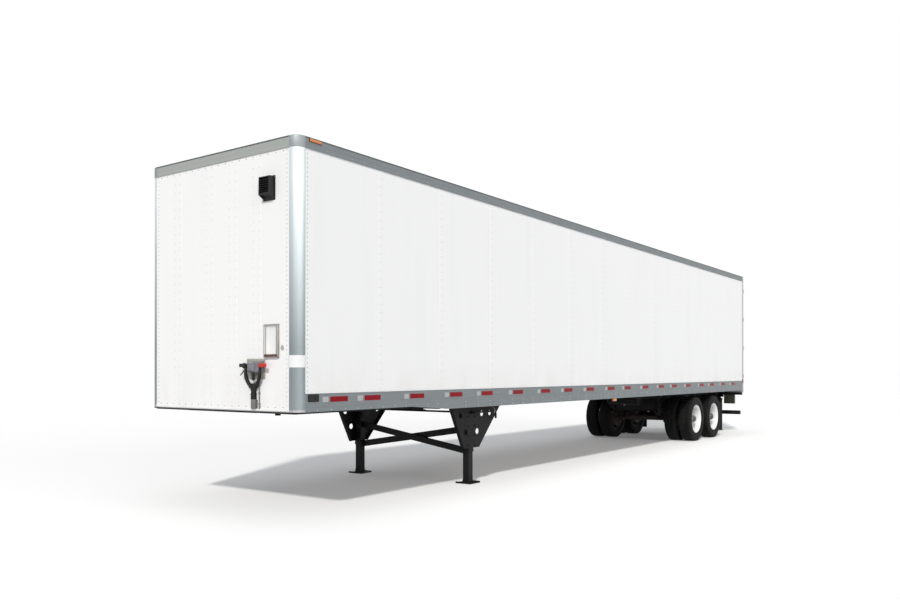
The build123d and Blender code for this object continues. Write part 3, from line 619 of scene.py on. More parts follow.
def rail_metal():
    """Weathered aluminium rails, darker along the sides; painted paler and greener across the nose as
    painted light on the front faces.
    """
    finish = drawn_metal("rail_metal", (0.225, 0.250, 0.258), "y", 0.5, 0.55)
    # painted light: the rails' front faces across the nose are painted paler than their sides
    nose = height(finish, NOSE + 0.07, NOSE + 0.03, "Y")
    tint(finish, nose, (0.375, 0.395, 0.38))
    return finish


WHITE = panel_white()
ROOF_SHEET = roof_sheet()
RAIL = rail_metal()
POST = post_metal()
STAINLESS = drawn_metal("rear_frame_metal", (0.46, 0.47, 0.47), "z", 0.34, 0.9)
GALVANISED = drawn_metal("galvanised_steel", (0.42, 0.43, 0.44), "x", 0.5, 0.8)
BLACK = chassis_paint()
LEG_BLACK = chassis_paint("leg_paint", 0.10)
PLATE_BLACK = chassis_paint("plate_paint", 0.05, (0.0045, 0.0045, 0.005))
SPRING = rusty_steel("spring_steel", (0.022, 0.021, 0.020), (0.075, 0.040, 0.027), 0.45)
CAST = rusty_steel("cast_iron", (0.10, 0.09, 0.085), (0.24, 0.12, 0.075), 0.8)
TYRE = tyre_rubber()
ENAMEL = wheel_paint()
BOARDS = floor_boards()
RED_LENS = lens("red_lens", (0.42, 0.012, 0.012))
AMBER_LENS = lens("amber_lens", (0.72, 0.22, 0.015))
RED_TAPE = reflective_tape("red_tape", (0.245, 0.004, 0.010))
SILVER_TAPE = reflective_tape("silver_tape", (0.44, 0.455, 0.455))
WHITE_TAPE = reflective_tape("white_tape", (0.80, 0.82, 0.82))
BLACK_PLASTIC = moulded("black_plastic", (0.010, 0.010, 0.0105), 0.5)
CLEAR_PLASTIC = moulded("holder_plastic", (0.84, 0.85, 0.83), 0.35, 90)
HOLDER_FRAME = moulded("holder_frame", (0.30, 0.28, 0.25), 0.5, 90)
HOSE = moulded("hose_rubber", (0.0045, 0.0045, 0.0048), 0.55)
SEAL = moulded("seal_rubber", (0.02, 0.02, 0.02), 0.7)
RED_METAL = moulded("red_enamel", (0.50, 0.03, 0.025), 0.35, 60)
FLAP = moulded("flap_rubber", (0.018, 0.018, 0.018), 0.75, 120)
BOLT = drawn_metal("bolt_zinc", (0.42, 0.43, 0.43), "x", 0.42, 0.8)
RIVET_WHITE = moulded("white_rivet", (0.60, 0.61, 0.61), 0.4, 300)
RIVET_GREY = moulded("grey_rivet", (0.47, 0.51, 0.53), 0.4, 300)
CHAMBER = rusty_steel("chamber_paint", (0.060, 0.060, 0.062), (0.13, 0.090, 0.072), 0.4)
SEAM_GREY = drawn_metal("seam_grey", (0.10, 0.11, 0.115), "y", 0.55, 0.4)
CAP_METAL = drawn_metal("cap_metal", (0.31, 0.335, 0.345), "z", 0.58, 0.8, 0.1)
LINE_BOLT = moulded("line_bolt", (0.16, 0.16, 0.16), 0.5, 200)
POCKET_BROWN = moulded("pocket_brown", (0.075, 0.035, 0.026), 0.5, 90)
PLATE_BEIGE = drawn_metal("plate_beige", (0.42, 0.40, 0.35), "x", 0.5, 0.5)
COVER_GREY = drawn_metal("cover_grey", (0.20, 0.20, 0.19), "z", 0.5, 0.6)
BOX_GREY = moulded("box_grey", (0.17, 0.172, 0.19), 0.4, 160)
HUB_PAINT = moulded("hub_enamel", (0.17, 0.172, 0.175), 0.45, 200)
CAP_GREY = moulded("cap_grey", (0.07, 0.072, 0.075), 0.35, 150)
CHASSIS_RUST = rusty_steel("worn_chassis", (0.016, 0.015, 0.0145), (0.052, 0.027, 0.018), 0.45)
BRAKE_RUST = rusty_steel("brake_rust", (0.030, 0.025, 0.022), (0.085, 0.046, 0.031), 0.7)
BOX_OLIVE = moulded("lamp_box_paint", (0.085, 0.082, 0.055), 0.55, 160)
DARK_LENS = moulded("dark_lens", (0.008, 0.007, 0.007), 0.5, 220)


# ---- camera, floor and light ----

camera = bpy.data.objects.new("camera", bpy.data.cameras.new("camera"))
bpy.context.collection.objects.link(camera)
camera.location = (7.648, station(-6.057), 1.588)
camera.rotation_euler = (radians(90.25), 0, radians(35.74))
camera.data.sensor_width = 36
camera.data.lens = 32.64
camera.data.shift_y = 0.0759
camera.data.clip_end = 200
bpy.context.scene.camera = camera
bpy.context.scene.view_settings.view_transform = "Standard"


def seen_rays(finish_or_world):
    """1 for the rays that show the backdrop itself: camera, mirror and glass rays."""
    rays = node(finish_or_world, "ShaderNodeLightPath")
    total = rays.outputs["Is Camera Ray"]
    for kind in ("Is Glossy Ray", "Is Transmission Ray"):
        total = node(finish_or_world, "ShaderNodeMath", {0: total, 1: rays.outputs[kind]},
                     operation="MAXIMUM").outputs[0]
    return total


SKY_COLOUR, SKY_LIGHT = (0.92, 0.955, 1.0, 1), 0.38


def light_scene():
    """A sun from the front left above, a soft fill from the left and a pale even sky."""
    world = bpy.data.worlds.new("studio")
    bpy.context.scene.world = world
    world.use_nodes = True
    sky = world.node_tree.nodes["Background"]
    seen = seen_rays(world)
    strength = span(world, seen, to_low=SKY_LIGHT, to_high=1.0)
    world.node_tree.links.new(strength, sky.inputs["Strength"])
    mixer = node(world, "ShaderNodeMix", {"Factor": seen}, data_type="RGBA")
    mixer.inputs["A"].default_value = SKY_COLOUR
    mixer.inputs["B"].default_value = (1, 1, 1, 1)
    world.node_tree.links.new(mixer.outputs["Result"], sky.inputs["Color"])

    for name, energy, angle, colour, direction in (
        ("sun", 2.25, 4, (1.0, 0.975, 0.94), (-0.45, 0.97, -0.84)),
        ("side_fill", 1.28, 60, (1.0, 0.995, 0.985), (-1.0, 0.25, -0.15)),
    ):
        lamp = bpy.data.objects.new(name, bpy.data.lights.new(name, "SUN"))
        bpy.context.collection.objects.link(lamp)
        lamp.data.energy = energy
        lamp.data.angle = radians(angle)
        lamp.data.color = colour
        lamp.rotation_euler = Vector(direction).to_track_quat("-Z", "Y").to_euler()


def lay_floor():
    """A pale floor that is white where the light reaches it and keeps the shadow."""
    bpy.ops.mesh.primitive_plane_add(size=120, location=(0, 0, 0))
    floor = bpy.context.object
    floor.name = "studio_floor"
    finish = plain("studio_floor", (0.62, 0.62, 0.64), 0.9)
    tint(finish, span(finish, spots(finish, 0.4), 0.3, 0.9), (0.60, 0.60, 0.62), 0.4)
    seen = seen_rays(finish)
    tint(finish, seen, (1.0, 1.0, 1.0))
    shader = finish.node_tree.nodes["Principled BSDF"]
    shader.inputs["Emission Color"].default_value = (1, 1, 1, 1)
    finish.node_tree.links.new(span(finish, seen, to_high=0.11), shader.inputs["Emission Strength"])
    floor.data.materials.append(finish)


light_scene()
lay_floor()

# ---- the air lines ----

SERVICE_X, SUPPLY_X, COUPLING_Y, COUPLING_Z = 0.535, 0.768, -0.047, 1.650
# Each line's route from its coupling into the cover; the second of each place is a station
AIR_LINES = {
    name: ((x, COUPLING_Y, 1.600), (x, COUPLING_Y, 1.505), (low_x, -0.014, 1.404), (low_x, -0.014, 1.289))
    for name, x, low_x in (("service_line", SERVICE_X, 0.609), ("supply_line", SUPPLY_X, 0.641))
}
LINE_D, GUARD_R, GUARD_LOW = 0.018, 0.0205, 1.412


def line_guard(name, line):
    """The thick sleeve over a line, along the line's own path."""
    depth, line.data.bevel_depth = line.data.bevel_depth, 0
    bpy.context.view_layer.update()
    path = bpy.data.meshes.new_from_object(line.evaluated_get(bpy.context.evaluated_depsgraph_get()))
    line.data.bevel_depth = depth
    along = [tuple(vertex.co) for vertex in path.vertices]
    sleeve = [point for point in along[2:] if point[2] > GUARD_LOW]
    guard = as_mesh(pipe(f"{name}_guard", sleeve, GUARD_R, 16))
    return place(guard, HOSE, "hose_rubber")


def air_lines():
    """The two air lines that hang from the couplings and run into the cover."""
    for name, route in AIR_LINES.items():
        points = [(x, station(y), z) for x, y, z in route]
        line = pipe(name, points, LINE_D / 2, 16)
        guard = line_guard(name, line)
        line.data.materials.append(HOSE)
        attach(line, "trailer")
        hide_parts("air_hoses")


air_lines()

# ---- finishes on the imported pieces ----

dress(WHITE, "side_panel_left", "side_panel_right", "front_wall", "door_left", "door_right")
dress(ROOF_SHEET, "roof")
dress(RAIL, "top_rails", "bottom_rails")
dress(POST, "corner_posts")
dress(BOARDS, "floor")
dress(STAINLESS, "rear_frame")
dress(GALVANISED, "front_sill", "coupling_plate", "conduits", "door_fittings_left", "door_fittings_right",
      "lock_rods_left", "lock_rods_right")
dress(BLACK, "crossmembers", "upper_coupler", "slide_rails", "bogie_members", "bogie_crossbeams",
      "spring_hangers", "underride_guard", "flap_arms", "air_tank", "lamp_boxes")
dress(LEG_BLACK, "landing_legs", "leg_gearboxes", "leg_rams", "sand_shoes", "leg_braces", "cross_shaft",
      "crank_handle")
dress(PLATE_BLACK, "wing_plates")
dress(SPRING, "leaf_springs", "equalizers", "axles")
dress(CHAMBER, "brake_chambers")
dress(FLAP, "mud_flaps")
dress(RED_LENS, "rear_lamps")
dress(AMBER_LENS, "marker_lamps")
dress(BLACK_PLASTIC, "front_vent")
dress(CLEAR_PLASTIC, "document_holder")
dress(RED_METAL, "glad_hands")
dress(HOSE, "air_hoses")
for side, _ in SIDES:
    for place_name in AXLES:
        dress(TYRE, f"tyres_{side}_{place_name}")
        dress(ENAMEL, f"wheels_{side}_{place_name}")


# ---- small hardware, modelled once and copied ----

STRIP_EASE = 0.0008

def dome(name, centre, out, radius, rise, sides=8):
    """A rivet's round head on a surface that faces out."""
    out = Vector(out)
    bpy.ops.mesh.primitive_uv_sphere_add(
        segments=sides, ring_count=4, radius=radius, location=centre,
        rotation=out.to_track_quat("Z", "Y").to_euler(),
    )
    piece = bpy.context.object
    piece.name = name
    piece.scale = (1, 1, rise / radius)
    settle(piece)
    edit(piece)
    halve(centre, out)
    done()
    return piece


def hex_bolt(name, centre, out, radius, tall):
    """A six-sided bolt head on its washer."""
    centre, out = Vector(centre), Vector(out)
    washer = bar(name, centre - out * 0.001, centre + out * 0.0025, radius * 1.45, 12)
    head = bar("head", centre, centre + out * (0.0025 + tall), radius, 6, radius * 0.12)
    return joined(name, [washer, head])


def plan_band(name, low, high, depth, thickness, end):
    """A band that follows the body's plan: down one side, round the nose, back up the other."""
    edge, radius = HALF - depth, CORNER_R - depth
    piece = block(name, (-edge, NOSE + depth, low), (edge, end, high))
    edit(piece, mode="EDGE")
    pick_edges(piece, lambda a, b: abs(a.z - b.z) > (high - low) / 2 and a.y < NOSE + depth + 0.01)
    bpy.ops.mesh.bevel(offset=radius, segments=12, affect="EDGES")
    bpy.ops.mesh.select_mode(type="FACE")
    pick_faces(piece, lambda middle, normal: abs(normal.z) > 0.5 or normal.y > 0.5)
    bpy.ops.mesh.delete(type="FACE")
    done()
    return modify(piece, "SOLIDIFY", thickness=thickness, offset=1)


def border(name, low, high, wide, bevel, inside=0.0):
    """Four strips round the edge of an upright rectangle; inside shortens the level ones."""
    (x0, y0, z0), (x1, y1, z1) = low, high
    return [
        block(name, (x0, y0, z0), (x0 + wide, y1, z1), bevel),
        block(name, (x1 - wide, y0, z0), (x1, y1, z1), bevel),
        block(name, (x0 + inside, y0, z0), (x1 - inside, y1, z0 + wide), bevel),
        block(name, (x0 + inside, y0, z1 - wide), (x1 - inside, y1, z1), bevel),
    ]


# ---- nose and box ----

WALL_LOW, WALL_TOP = SILL_TOP + 0.012, HEADER_LOW - 0.012
RIVET_R, RIVET_H = 0.0065, 0.0035
BAND_LOW, BAND_TOP = 1.636, 1.766
FRONT_COLUMNS = (-0.803, -0.705, -0.215, -0.112, 0.195, 0.299, 0.602, 0.700)
RAIL_PROUD = 0.006
FRONT_FACE, SIDE_FACE = NOSE + RAIL_PROUD, HALF - RAIL_PROUD
SHEETS, SHEET_PITCH = 13, 1.22
RIVET_PITCH, EDGE_PITCH, BEAM_PITCH = 0.1, 0.05, 0.305


def front_wall_details():
    """Pressed posts, rivet columns, edge rivets, the skirt over the sill, and a black band along the sill's
    lower edge as painted shade.
    """
    pressings = []
    for left, right in zip(FRONT_COLUMNS[::2], FRONT_COLUMNS[1::2]):
        pressings.append(block("post_pressing", (left - 0.02, FRONT_FACE - 0.0012, WALL_LOW),
                               (right + 0.02, FRONT_FACE + 0.002, WALL_TOP), 0.001))
    place(joined("front_wall_pressings", pressings), WHITE, "white_panel")

    head = dome("front_rivets", (0, FRONT_FACE - 0.001, WALL_LOW + 0.05), (0, -1, 0), RIVET_R, RIVET_H)
    column = row(head, 28, (0, 0, RIVET_PITCH))
    columns = moved(column, [(x, 0, 0) for x in FRONT_COLUMNS])
    edge = row(dome("edge", (1.134, FRONT_FACE, WALL_LOW + 0.03), (0, -1, 0), 0.0075, RIVET_H), 56,
               (0, 0, EDGE_PITCH))
    edges = moved(edge, [(0, 0, 0), (-2.268, 0, 0)])
    edges.name = "edge_rivets"
    place(edges, RIVET_GREY, "white_panel")
    line = row(dome("line", (-1.08, FRONT_FACE, WALL_LOW + 0.012), (0, -1, 0), RIVET_R, RIVET_H), 19,
               (0.12, 0, 0))
    lines = moved(line, [(0, 0, 0), (0, 0, WALL_TOP - WALL_LOW - 0.03)])
    columns.name, lines.name = "front_rivets", "sill_line_bolts"
    place(columns, RIVET_WHITE, "white_panel")
    place(lines, LINE_BOLT, "zinc")

    skirt = block("front_skirt", (-HALF + CORNER_R, NOSE - 0.0015, SILL_LOW + 0.016),
                  (HALF - CORNER_R, NOSE + 0.006, SILL_TOP + 0.004), STRIP_EASE)
    place(skirt, WHITE, "white_panel")
    # painted shade: a black band along the sill's lower edge stands in for the shade line below the front
    # wall
    trim = plan_band("sill_shade_band", SILL_LOW - 0.003, SILL_LOW + 0.007, 0, 0.0025, NOSE + CORNER_R)
    place(trim, BLACK, "black_steel")


def side_wall_details():
    """Sheet laps with their rivets, and the rows of rivets along the rails."""
    low, high = RAIL_TOP + 0.012, HEADER_LOW - 0.012
    lap = block("side_laps", (SIDE_FACE - 0.001, station(1.33), low - 0.010),
                (SIDE_FACE + 0.0014, station(1.40), high + 0.010), STRIP_EASE)
    lap = row(lap, SHEETS, (0, SHEET_PITCH, 0))
    place(both_sides(lap), WHITE, "white_panel")

    head = dome("side_rivets", (SIDE_FACE + 0.001, station(1.347), low + 0.03), (1, 0, 0), RIVET_R, RIVET_H)
    column = row(head, 26, (0, 0, RIVET_PITCH))
    columns = row(moved(column, [(0, 0, 0), (0, 0.036, 0)]), SHEETS, (0, SHEET_PITCH, 0))
    post = dome("post", (SIDE_FACE, station(0.158), low + 0.02), (1, 0, 0), 0.0085, 0.004)
    post = moved(row(post, 52, (0, 0, EDGE_PITCH)), [(0, 0, 0), (0, 15.86, 0)])
    columns.name, post.name = "side_rivets", "side_edge_rivets"
    place(both_sides(columns), RIVET_WHITE, "white_panel")
    place(both_sides(post), RIVET_GREY, "white_panel")

    low_row = dome("low_row", (SIDE_FACE, station(0.22), low + 0.004), (1, 0, 0), 0.0055, 0.003, 6)
    low_row = moved(row(low_row, 156, (0, 0.1016, 0)), [(0, 0, 0), (0, 0, high - low - 0.008)])
    low_row.name = "rail_rivet_rows"
    place(both_sides(low_row), RIVET_WHITE, "white_panel")


def corner_post_details():
    """Castings at the rail's corners, and the blank reflective band on the near post."""
    caps = []
    for _, sign in SIDES:
        centre = Vector((sign * (HALF - CORNER_R), NOSE + CORNER_R, 0))
        cap = bar("corner_cap", centre + Vector((0, 0, HEADER_LOW - 0.004)),
                  centre + Vector((0, 0, ROOF - 0.0015)), CORNER_R + 0.0035, 64, 0.003, 2)
        edit(cap)
        halve(centre, (sign, 0, 0))
        halve(centre, (0, -1, 0))
        done()
        caps.append(cap)
    place(joined("rail_corner_caps", caps), CAP_METAL, "bare_metal")

    centre = Vector((HALF - CORNER_R, NOSE + CORNER_R, 0))
    low, high = Vector((0, 0, BAND_LOW)), Vector((0, 0, BAND_TOP))
    band = bar("post_band", centre + low, centre + high, CORNER_R + 0.0012, 64)
    edit(band)
    halve(centre + Vector((-0.018, 0, 0)), (1, 0, 0))
    halve(centre, (0, -1, 0))
    done()
    place(band, WHITE_TAPE, "bare_metal")


def rail_details():
    """Beads along the rails, the roof's folded edge, and bolt pairs at the crossmembers."""
    end = REAR_FRAME_Y
    beads = []
    for start, z, tall, proud in (
        (NOSE + CORNER_R, RAIL_TOP - 0.010, 0.010, 0.003), (NOSE + CORNER_R, 1.205, 0.006, 0.0015),
        (NOSE + CORNER_R, 1.238, 0.004, 0.0012), (station(2.72), RAIL_LOW - 0.001, 0.010, 0.003),
    ):
        beads.append(block("rail_bead", (HALF - 0.001, start, z), (HALF + proud, end, z + tall), 0.001))
    place(both_sides(joined("bottom_rail_beads", beads)), RAIL, "rail_grey")

    place(plan_band("top_rail_foot", HEADER_LOW - 0.006, HEADER_LOW + 0.003, 0, 0.0028, end), RAIL,
          "rail_grey")
    place(plan_band("top_rail_bead", HEADER_LOW + 0.052, HEADER_LOW + 0.056, 0, 0.0015, end), RAIL,
          "rail_grey")
    place(plan_band("roof_fold", ROOF - 0.014, ROOF - 0.0005, 0, 0.0026, end), SEAM_GREY, "rail_grey")

    rail_bolts = joined("rail_bolts", [
        hex_bolt("bolt", (HALF, station(3.14), z), (1, 0, 0), 0.0085, 0.006) for z in (1.121, 1.178)
    ])
    place(both_sides(row(rail_bolts, 43, (0, BEAM_PITCH, 0))), BOLT, "zinc")
    nose_bolts = row(hex_bolt("nose_bolts", (HALF, station(0.30), 1.170), (1, 0, 0), 0.0075, 0.005), 12,
                     (0, 0.22, 0))
    place(both_sides(nose_bolts), BOLT, "zinc")
    head = dome("top_rail_rivets", (HALF, station(0.45), HEADER_LOW + 0.024), (1, 0, 0), 0.006, 0.0035, 6)
    place(both_sides(row(head, 77, (0, 0.2032, 0))), BOLT, "zinc")


# Reflective strips on the side rails: middle of the silver part behind the nose; red follows it
TAPE_PLACES = (
    0.396, 0.964, 1.816, 2.668, 3.428, 4.279, 5.130, 5.908, 6.729, 7.59, 8.34, 9.21, 10.06, 10.81, 11.67,
    12.57, 13.30, 14.16, 14.97,
)
TAPE_Z, TAPE_H, SILVER_L, RED_L = 1.285, 0.060, 0.094, 0.290


def tape_strips():
    """Silver and red reflective strips along both side rails."""
    for name, start, length, finish in (
        ("silver_strips", -0.016, SILVER_L, SILVER_TAPE), ("red_strips", 0.102, RED_L, RED_TAPE),
    ):
        first = block(name, (HALF - 0.0005, station(start) + 0.002, TAPE_Z - TAPE_H / 2),
                      (HALF + 0.0014, station(start + length) - 0.002, TAPE_Z + TAPE_H / 2), 0.0006)
        strips = moved(first, [(0, y, 0) for y in TAPE_PLACES])
        place(both_sides(strips), finish, "rail_grey")


def roof_details():
    """Lap strips across the roof."""
    lap = block("roof_laps", (-HALF + 0.006, station(0.9), ROOF - 0.001),
                (HALF - 0.006, station(0.94), ROOF - 0.0002), 0.0003)
    place(row(lap, SHEETS, (0, SHEET_PITCH, 0)), ROOF_SHEET, "white_panel")


front_wall_details()
side_wall_details()
corner_post_details()
rail_details()
tape_strips()
roof_details()


# ---- fittings on the nose ----

def vent():
    """The hooded vent: a moulded box with louvres, a sloping hood and a flange."""
    (x0, y0, z0), (x1, _, z1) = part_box("front_vent")
    x0, y0, y1, z0 = x0 - 0.024, y0 + 0.004, FRONT_FACE, z0 + 0.018
    shell = block("vent_box", (x0, y0, z0), (x1, y1, z1))
    edit(shell, mode="EDGE")
    pick_edges(shell, lambda a, b: max(a.y, b.y) < y0 + 0.001 and min(a.z, b.z) > z1 - 0.001)
    shift(0, 0.004, -0.010)
    pick_edges(shell, lambda a, b: max(a.y, b.y) < y0 + 0.001 and max(a.z, b.z) < z0 + 0.001)
    shift(0, 0, 0.046)
    bpy.ops.mesh.select_mode(type="FACE")
    pick_faces(shell, facing("y", -1))
    inset(0.010)
    pull(0, 0.045, 0)
    pick_faces(shell, lambda middle, normal: normal.z < -0.6 and middle.z < z0 + 0.03)
    inset(0.012)
    pull(0, 0, 0.030)
    done()
    rounded(shell, 0.0035, 2)
    slat = block("slat", (x0 + 0.008, y0 + 0.003, z0 + 0.056), (x1 - 0.008, y0 + 0.044, z0 + 0.060))
    edit(slat, facing("y", 1))
    shift(0, 0, 0.018)
    done()
    slats = row(rounded(slat, 0.001, 1), 7, (0, 0, 0.0240))
    flange = block("vent_flange", (x0 - 0.012, y1 - 0.004, z0 - 0.010),
                   (x1 + 0.012, y1 + 0.001, z1 + 0.006), 0.001)
    place(joined("vent", [shell, slats, flange]), BLACK_PLASTIC, "black_plastic", replaces=["front_vent"])
    screw = dome("vent_screws", (x0 - 0.006, y1 - 0.004, z0 + 0.02), (0, -1, 0), 0.004, 0.002)
    screws = moved(screw, [(0, 0, 0), (x1 - x0 + 0.012, 0, 0), (0, 0, 0.22), (x1 - x0 + 0.012, 0, 0.22)])
    place(screws, BOLT, "zinc")


def permit_holder():
    """The flat holder: a framed pale tray with a hinged lid and a brown pocket."""
    (x0, y0, z0), (x1, _, z1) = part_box("document_holder")
    y1 = FRONT_FACE
    tray = block("holder_tray", (x0 + 0.003, y0 + 0.006, z0 + 0.003), (x1 - 0.003, y1, z1 - 0.003))
    edit(tray, facing("y", -1))
    inset(0.016)
    pull(0, 0.012, 0)
    done()
    place(rounded(tray, 0.002, 2), CLEAR_PLASTIC, "holder_plastic", replaces=["document_holder"])
    wide = 0.009
    bars = border("edge", (x0, y0, z0), (x1, y1, z1), wide, 0.0015) + [
        block("inner", (left, y0 + 0.004, z0 + 0.03), (right, y0 + 0.012, z1 - 0.02), 0.001)
        for left, right in ((x1 - 0.034, x1 - 0.029), (x0 + 0.024, x0 + 0.028))
    ]
    place(joined("holder_frame", bars), HOLDER_FRAME, "holder_plastic")
    pocket = block("holder_pocket", (x0 + wide, y0 + 0.001, z0 + wide), (x1 - wide, y0 + 0.010, z0 + 0.036),
                   0.002)
    place(pocket, POCKET_BROWN, "holder_plastic")
    knuckle = row(bar_x("holder_hinge", x0 + 0.016, x0 + 0.038, y0 + 0.004, z1 - 0.012, 0.0055, 10), 7,
                  (0.0285, 0, 0))
    place(rounded(knuckle, 0.001, 1), BOLT, "zinc")


def coupling_station():
    """The plate, the socket box with its sprung lid, and the two air couplings."""
    (x0, _, z0), (x1, _, z1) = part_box("coupling_plate")
    face, back = NOSE - 0.002, NOSE + 0.006
    plate = block("coupling_plate_fine", (x0, face, z0), (x1, back, z1), 0.003, 2)
    place(plate, PLATE_BEIGE, "bare_metal", replaces=["coupling_plate"])
    bolt = hex_bolt("plate_bolts", (x0 + 0.018, face, z0 + 0.018), (0, -1, 0), 0.007, 0.005)
    across, up = x1 - x0 - 0.036, z1 - z0 - 0.036
    place(moved(bolt, [(0, 0, 0), (across, 0, 0), (0, 0, up), (across, 0, up)]), BOLT, "zinc")

    middle, z = (x0 + x1) / 2, COUPLING_Z
    low_x, high_x = middle - 0.096, middle + 0.134
    box_piece = block("socket_box", (low_x, face - 0.056, z - 0.078), (high_x, face + 0.001, z + 0.060))
    edit(box_piece, facing("y", -1))
    stretch((0.86, 1, 0.84), ((low_x + high_x) / 2, face - 0.056, z - 0.004))
    done()
    place(rounded(box_piece, 0.012, 3), BOX_GREY, "bare_metal")
    lid = block("socket_lid", (middle - 0.066, face - 0.069, z - 0.052),
                (middle + 0.050, face - 0.055, z + 0.034), 0.009, 3)
    place(lid, BOX_GREY, "bare_metal")
    hinge = bar_x("socket_hinge", middle - 0.050, middle + 0.022, face - 0.063, z + 0.038, 0.006, 12, 0.001)
    place(hinge, BOLT, "zinc")
    gland = bar_z("socket_gland", middle - 0.012, face - 0.028, z - 0.155, z - 0.070, 0.017, 20, 0.003, 2)
    place(gland, BLACK_PLASTIC, "black_plastic")

    hands, fittings = {}, []
    for name, x in (("service", SERVICE_X), ("supply", SUPPLY_X)):
        y = station(COUPLING_Y)
        red = name == "supply"
        reach = 0.066 if red else -0.045
        spot = (x + reach * (0.75 if red else 0.35), y, 1.656)
        body = bar_y(f"{name}_coupling", spot[0], y + 0.014, y - 0.020, spot[2], 0.024 if red else 0.030,
                     32, 0.005, 2)
        tab_x = sorted((x - reach * 0.05, x + reach * 1.78))
        tab = block("tab", (tab_x[0], y - 0.026, 1.640), (tab_x[1], y - 0.006, 1.680), 0.006, 3)
        snout = block("snout", (x - 0.013, y - 0.010, 1.602), (x + 0.013, y + 0.012, 1.645), 0.004, 2)
        stub = bar_y("stub", x, y, face, COUPLING_Z, 0.013, 20)
        flange = bar_y("flange", x, face - 0.006, face + 0.001, COUPLING_Z, 0.023, 6, 0.001)
        collar = bar_z("collar", x, y, 1.612, 1.594, 0.0135, 6, 0.001)
        hands[name] = joined(f"{name}_coupling", [body, tab])
        fittings.append(joined("fitting", [snout, stub, flange, collar]))
        boot = bar_z(f"{name}_seal", x, y, 1.604, 1.540, 0.021, 28)
        edit(boot, facing("z", -1))
        stretch((0.55, 0.55, 1), (x, y, 1.540))
        done()
        place(rounded(boot, 0.003, 2), SEAL, "hose_rubber")
    place(joined("coupling_fittings", fittings), BLACK_PLASTIC, "black_plastic")
    place(hands["supply"], RED_METAL, "coupling_red", replaces=["glad_hands"])
    place(hands["service"], BLACK_PLASTIC, "coupling_red", replaces=["glad_hands"])
    lever = block("coupling_lever", (0.452, NOSE - 0.052, 1.596), (0.520, NOSE - 0.044, 1.612))
    edit(lever, facing("x", -1))
    shift(0, 0, -0.052)
    done()
    place(rounded(lever, 0.003, 2), BLACK_PLASTIC, "coupling_red")


def line_covers():
    """The ribbed boot over the lines, the cover below it, and the thin conduit with its clips."""
    cx0, cx1, boot_x, tx0, tx1 = 0.587, 0.663, 0.630, 0.703, 0.717
    boot = block("line_boot", (cx0 + 0.004, NOSE - 0.031, 1.283), (cx1 + 0.004, NOSE + 0.005, 1.400))
    edit(boot, facing("z", 1))
    stretch((0.82, 0.85, 1), (boot_x, NOSE - 0.014, 1.4))
    pull(0, -0.004, 0.030)
    stretch((1.35, 0.9, 1), (boot_x, NOSE - 0.018, 1.430))
    pull(0, -0.006, 0.032)
    stretch((1.55, 0.8, 1), (boot_x, NOSE - 0.024, 1.462))
    done()
    rounded(boot, 0.010, 3)
    tie = block("tie", (cx0 + 0.003, NOSE - 0.033, 1.335), (cx1 + 0.005, NOSE + 0.004, 1.343), 0.003, 2)
    place(joined("line_boot", [boot, tie]), HOSE, "hose_rubber")

    cover = block("line_cover", (cx0 + 0.006, NOSE - 0.026, SILL_TOP), (cx1, NOSE + 0.006, 1.289), 0.006, 3)
    lips = [
        block("lip", (cx0 - 0.014, NOSE + 0.003, SILL_TOP), (cx0, NOSE + 0.006, 1.280), 0.001),
        block("lip", (cx1, NOSE + 0.003, SILL_TOP), (cx1 + 0.014, NOSE + 0.006, 1.280), 0.001),
    ]
    thin = block("thin", (tx0, NOSE - 0.008, SILL_TOP), (tx1, NOSE + 0.006, 1.489), 0.004, 3)
    clip = block("clip", (tx0 - 0.008, NOSE - 0.0095, 1.23), (tx1 + 0.008, NOSE + 0.005, 1.242), 0.002, 2)
    clips = moved(clip, [(0, 0, 0), (0, 0, 0.12), (0, 0, 0.235)])
    place(joined("line_cover", [cover, *lips, thin, clips]), COVER_GREY, "bare_metal",
          replaces=["conduits"])

    clip = block("wall_clip", (1.060, NOSE - 0.012, 1.832), (1.092, FRONT_FACE, 1.848))
    edit(clip, facing("z", 1))
    pull(-0.006, 0.006, 0.030)
    stretch((0.35, 0.6, 1), (1.070, FRONT_FACE, 1.878))
    done()
    place(rounded(clip, 0.002, 2), GALVANISED, "bare_metal")


vent()
permit_holder()
coupling_station()
line_covers()


# ---- landing gear ----

PLATE_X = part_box("wing_plates")[1][0]
LEG_HALF, SHOE_HALF, FOOT_PIN_Z = 0.0573, 0.127, 0.078
GEAR_Z = (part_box("cross_shaft")[0][2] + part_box("cross_shaft")[1][2]) / 2


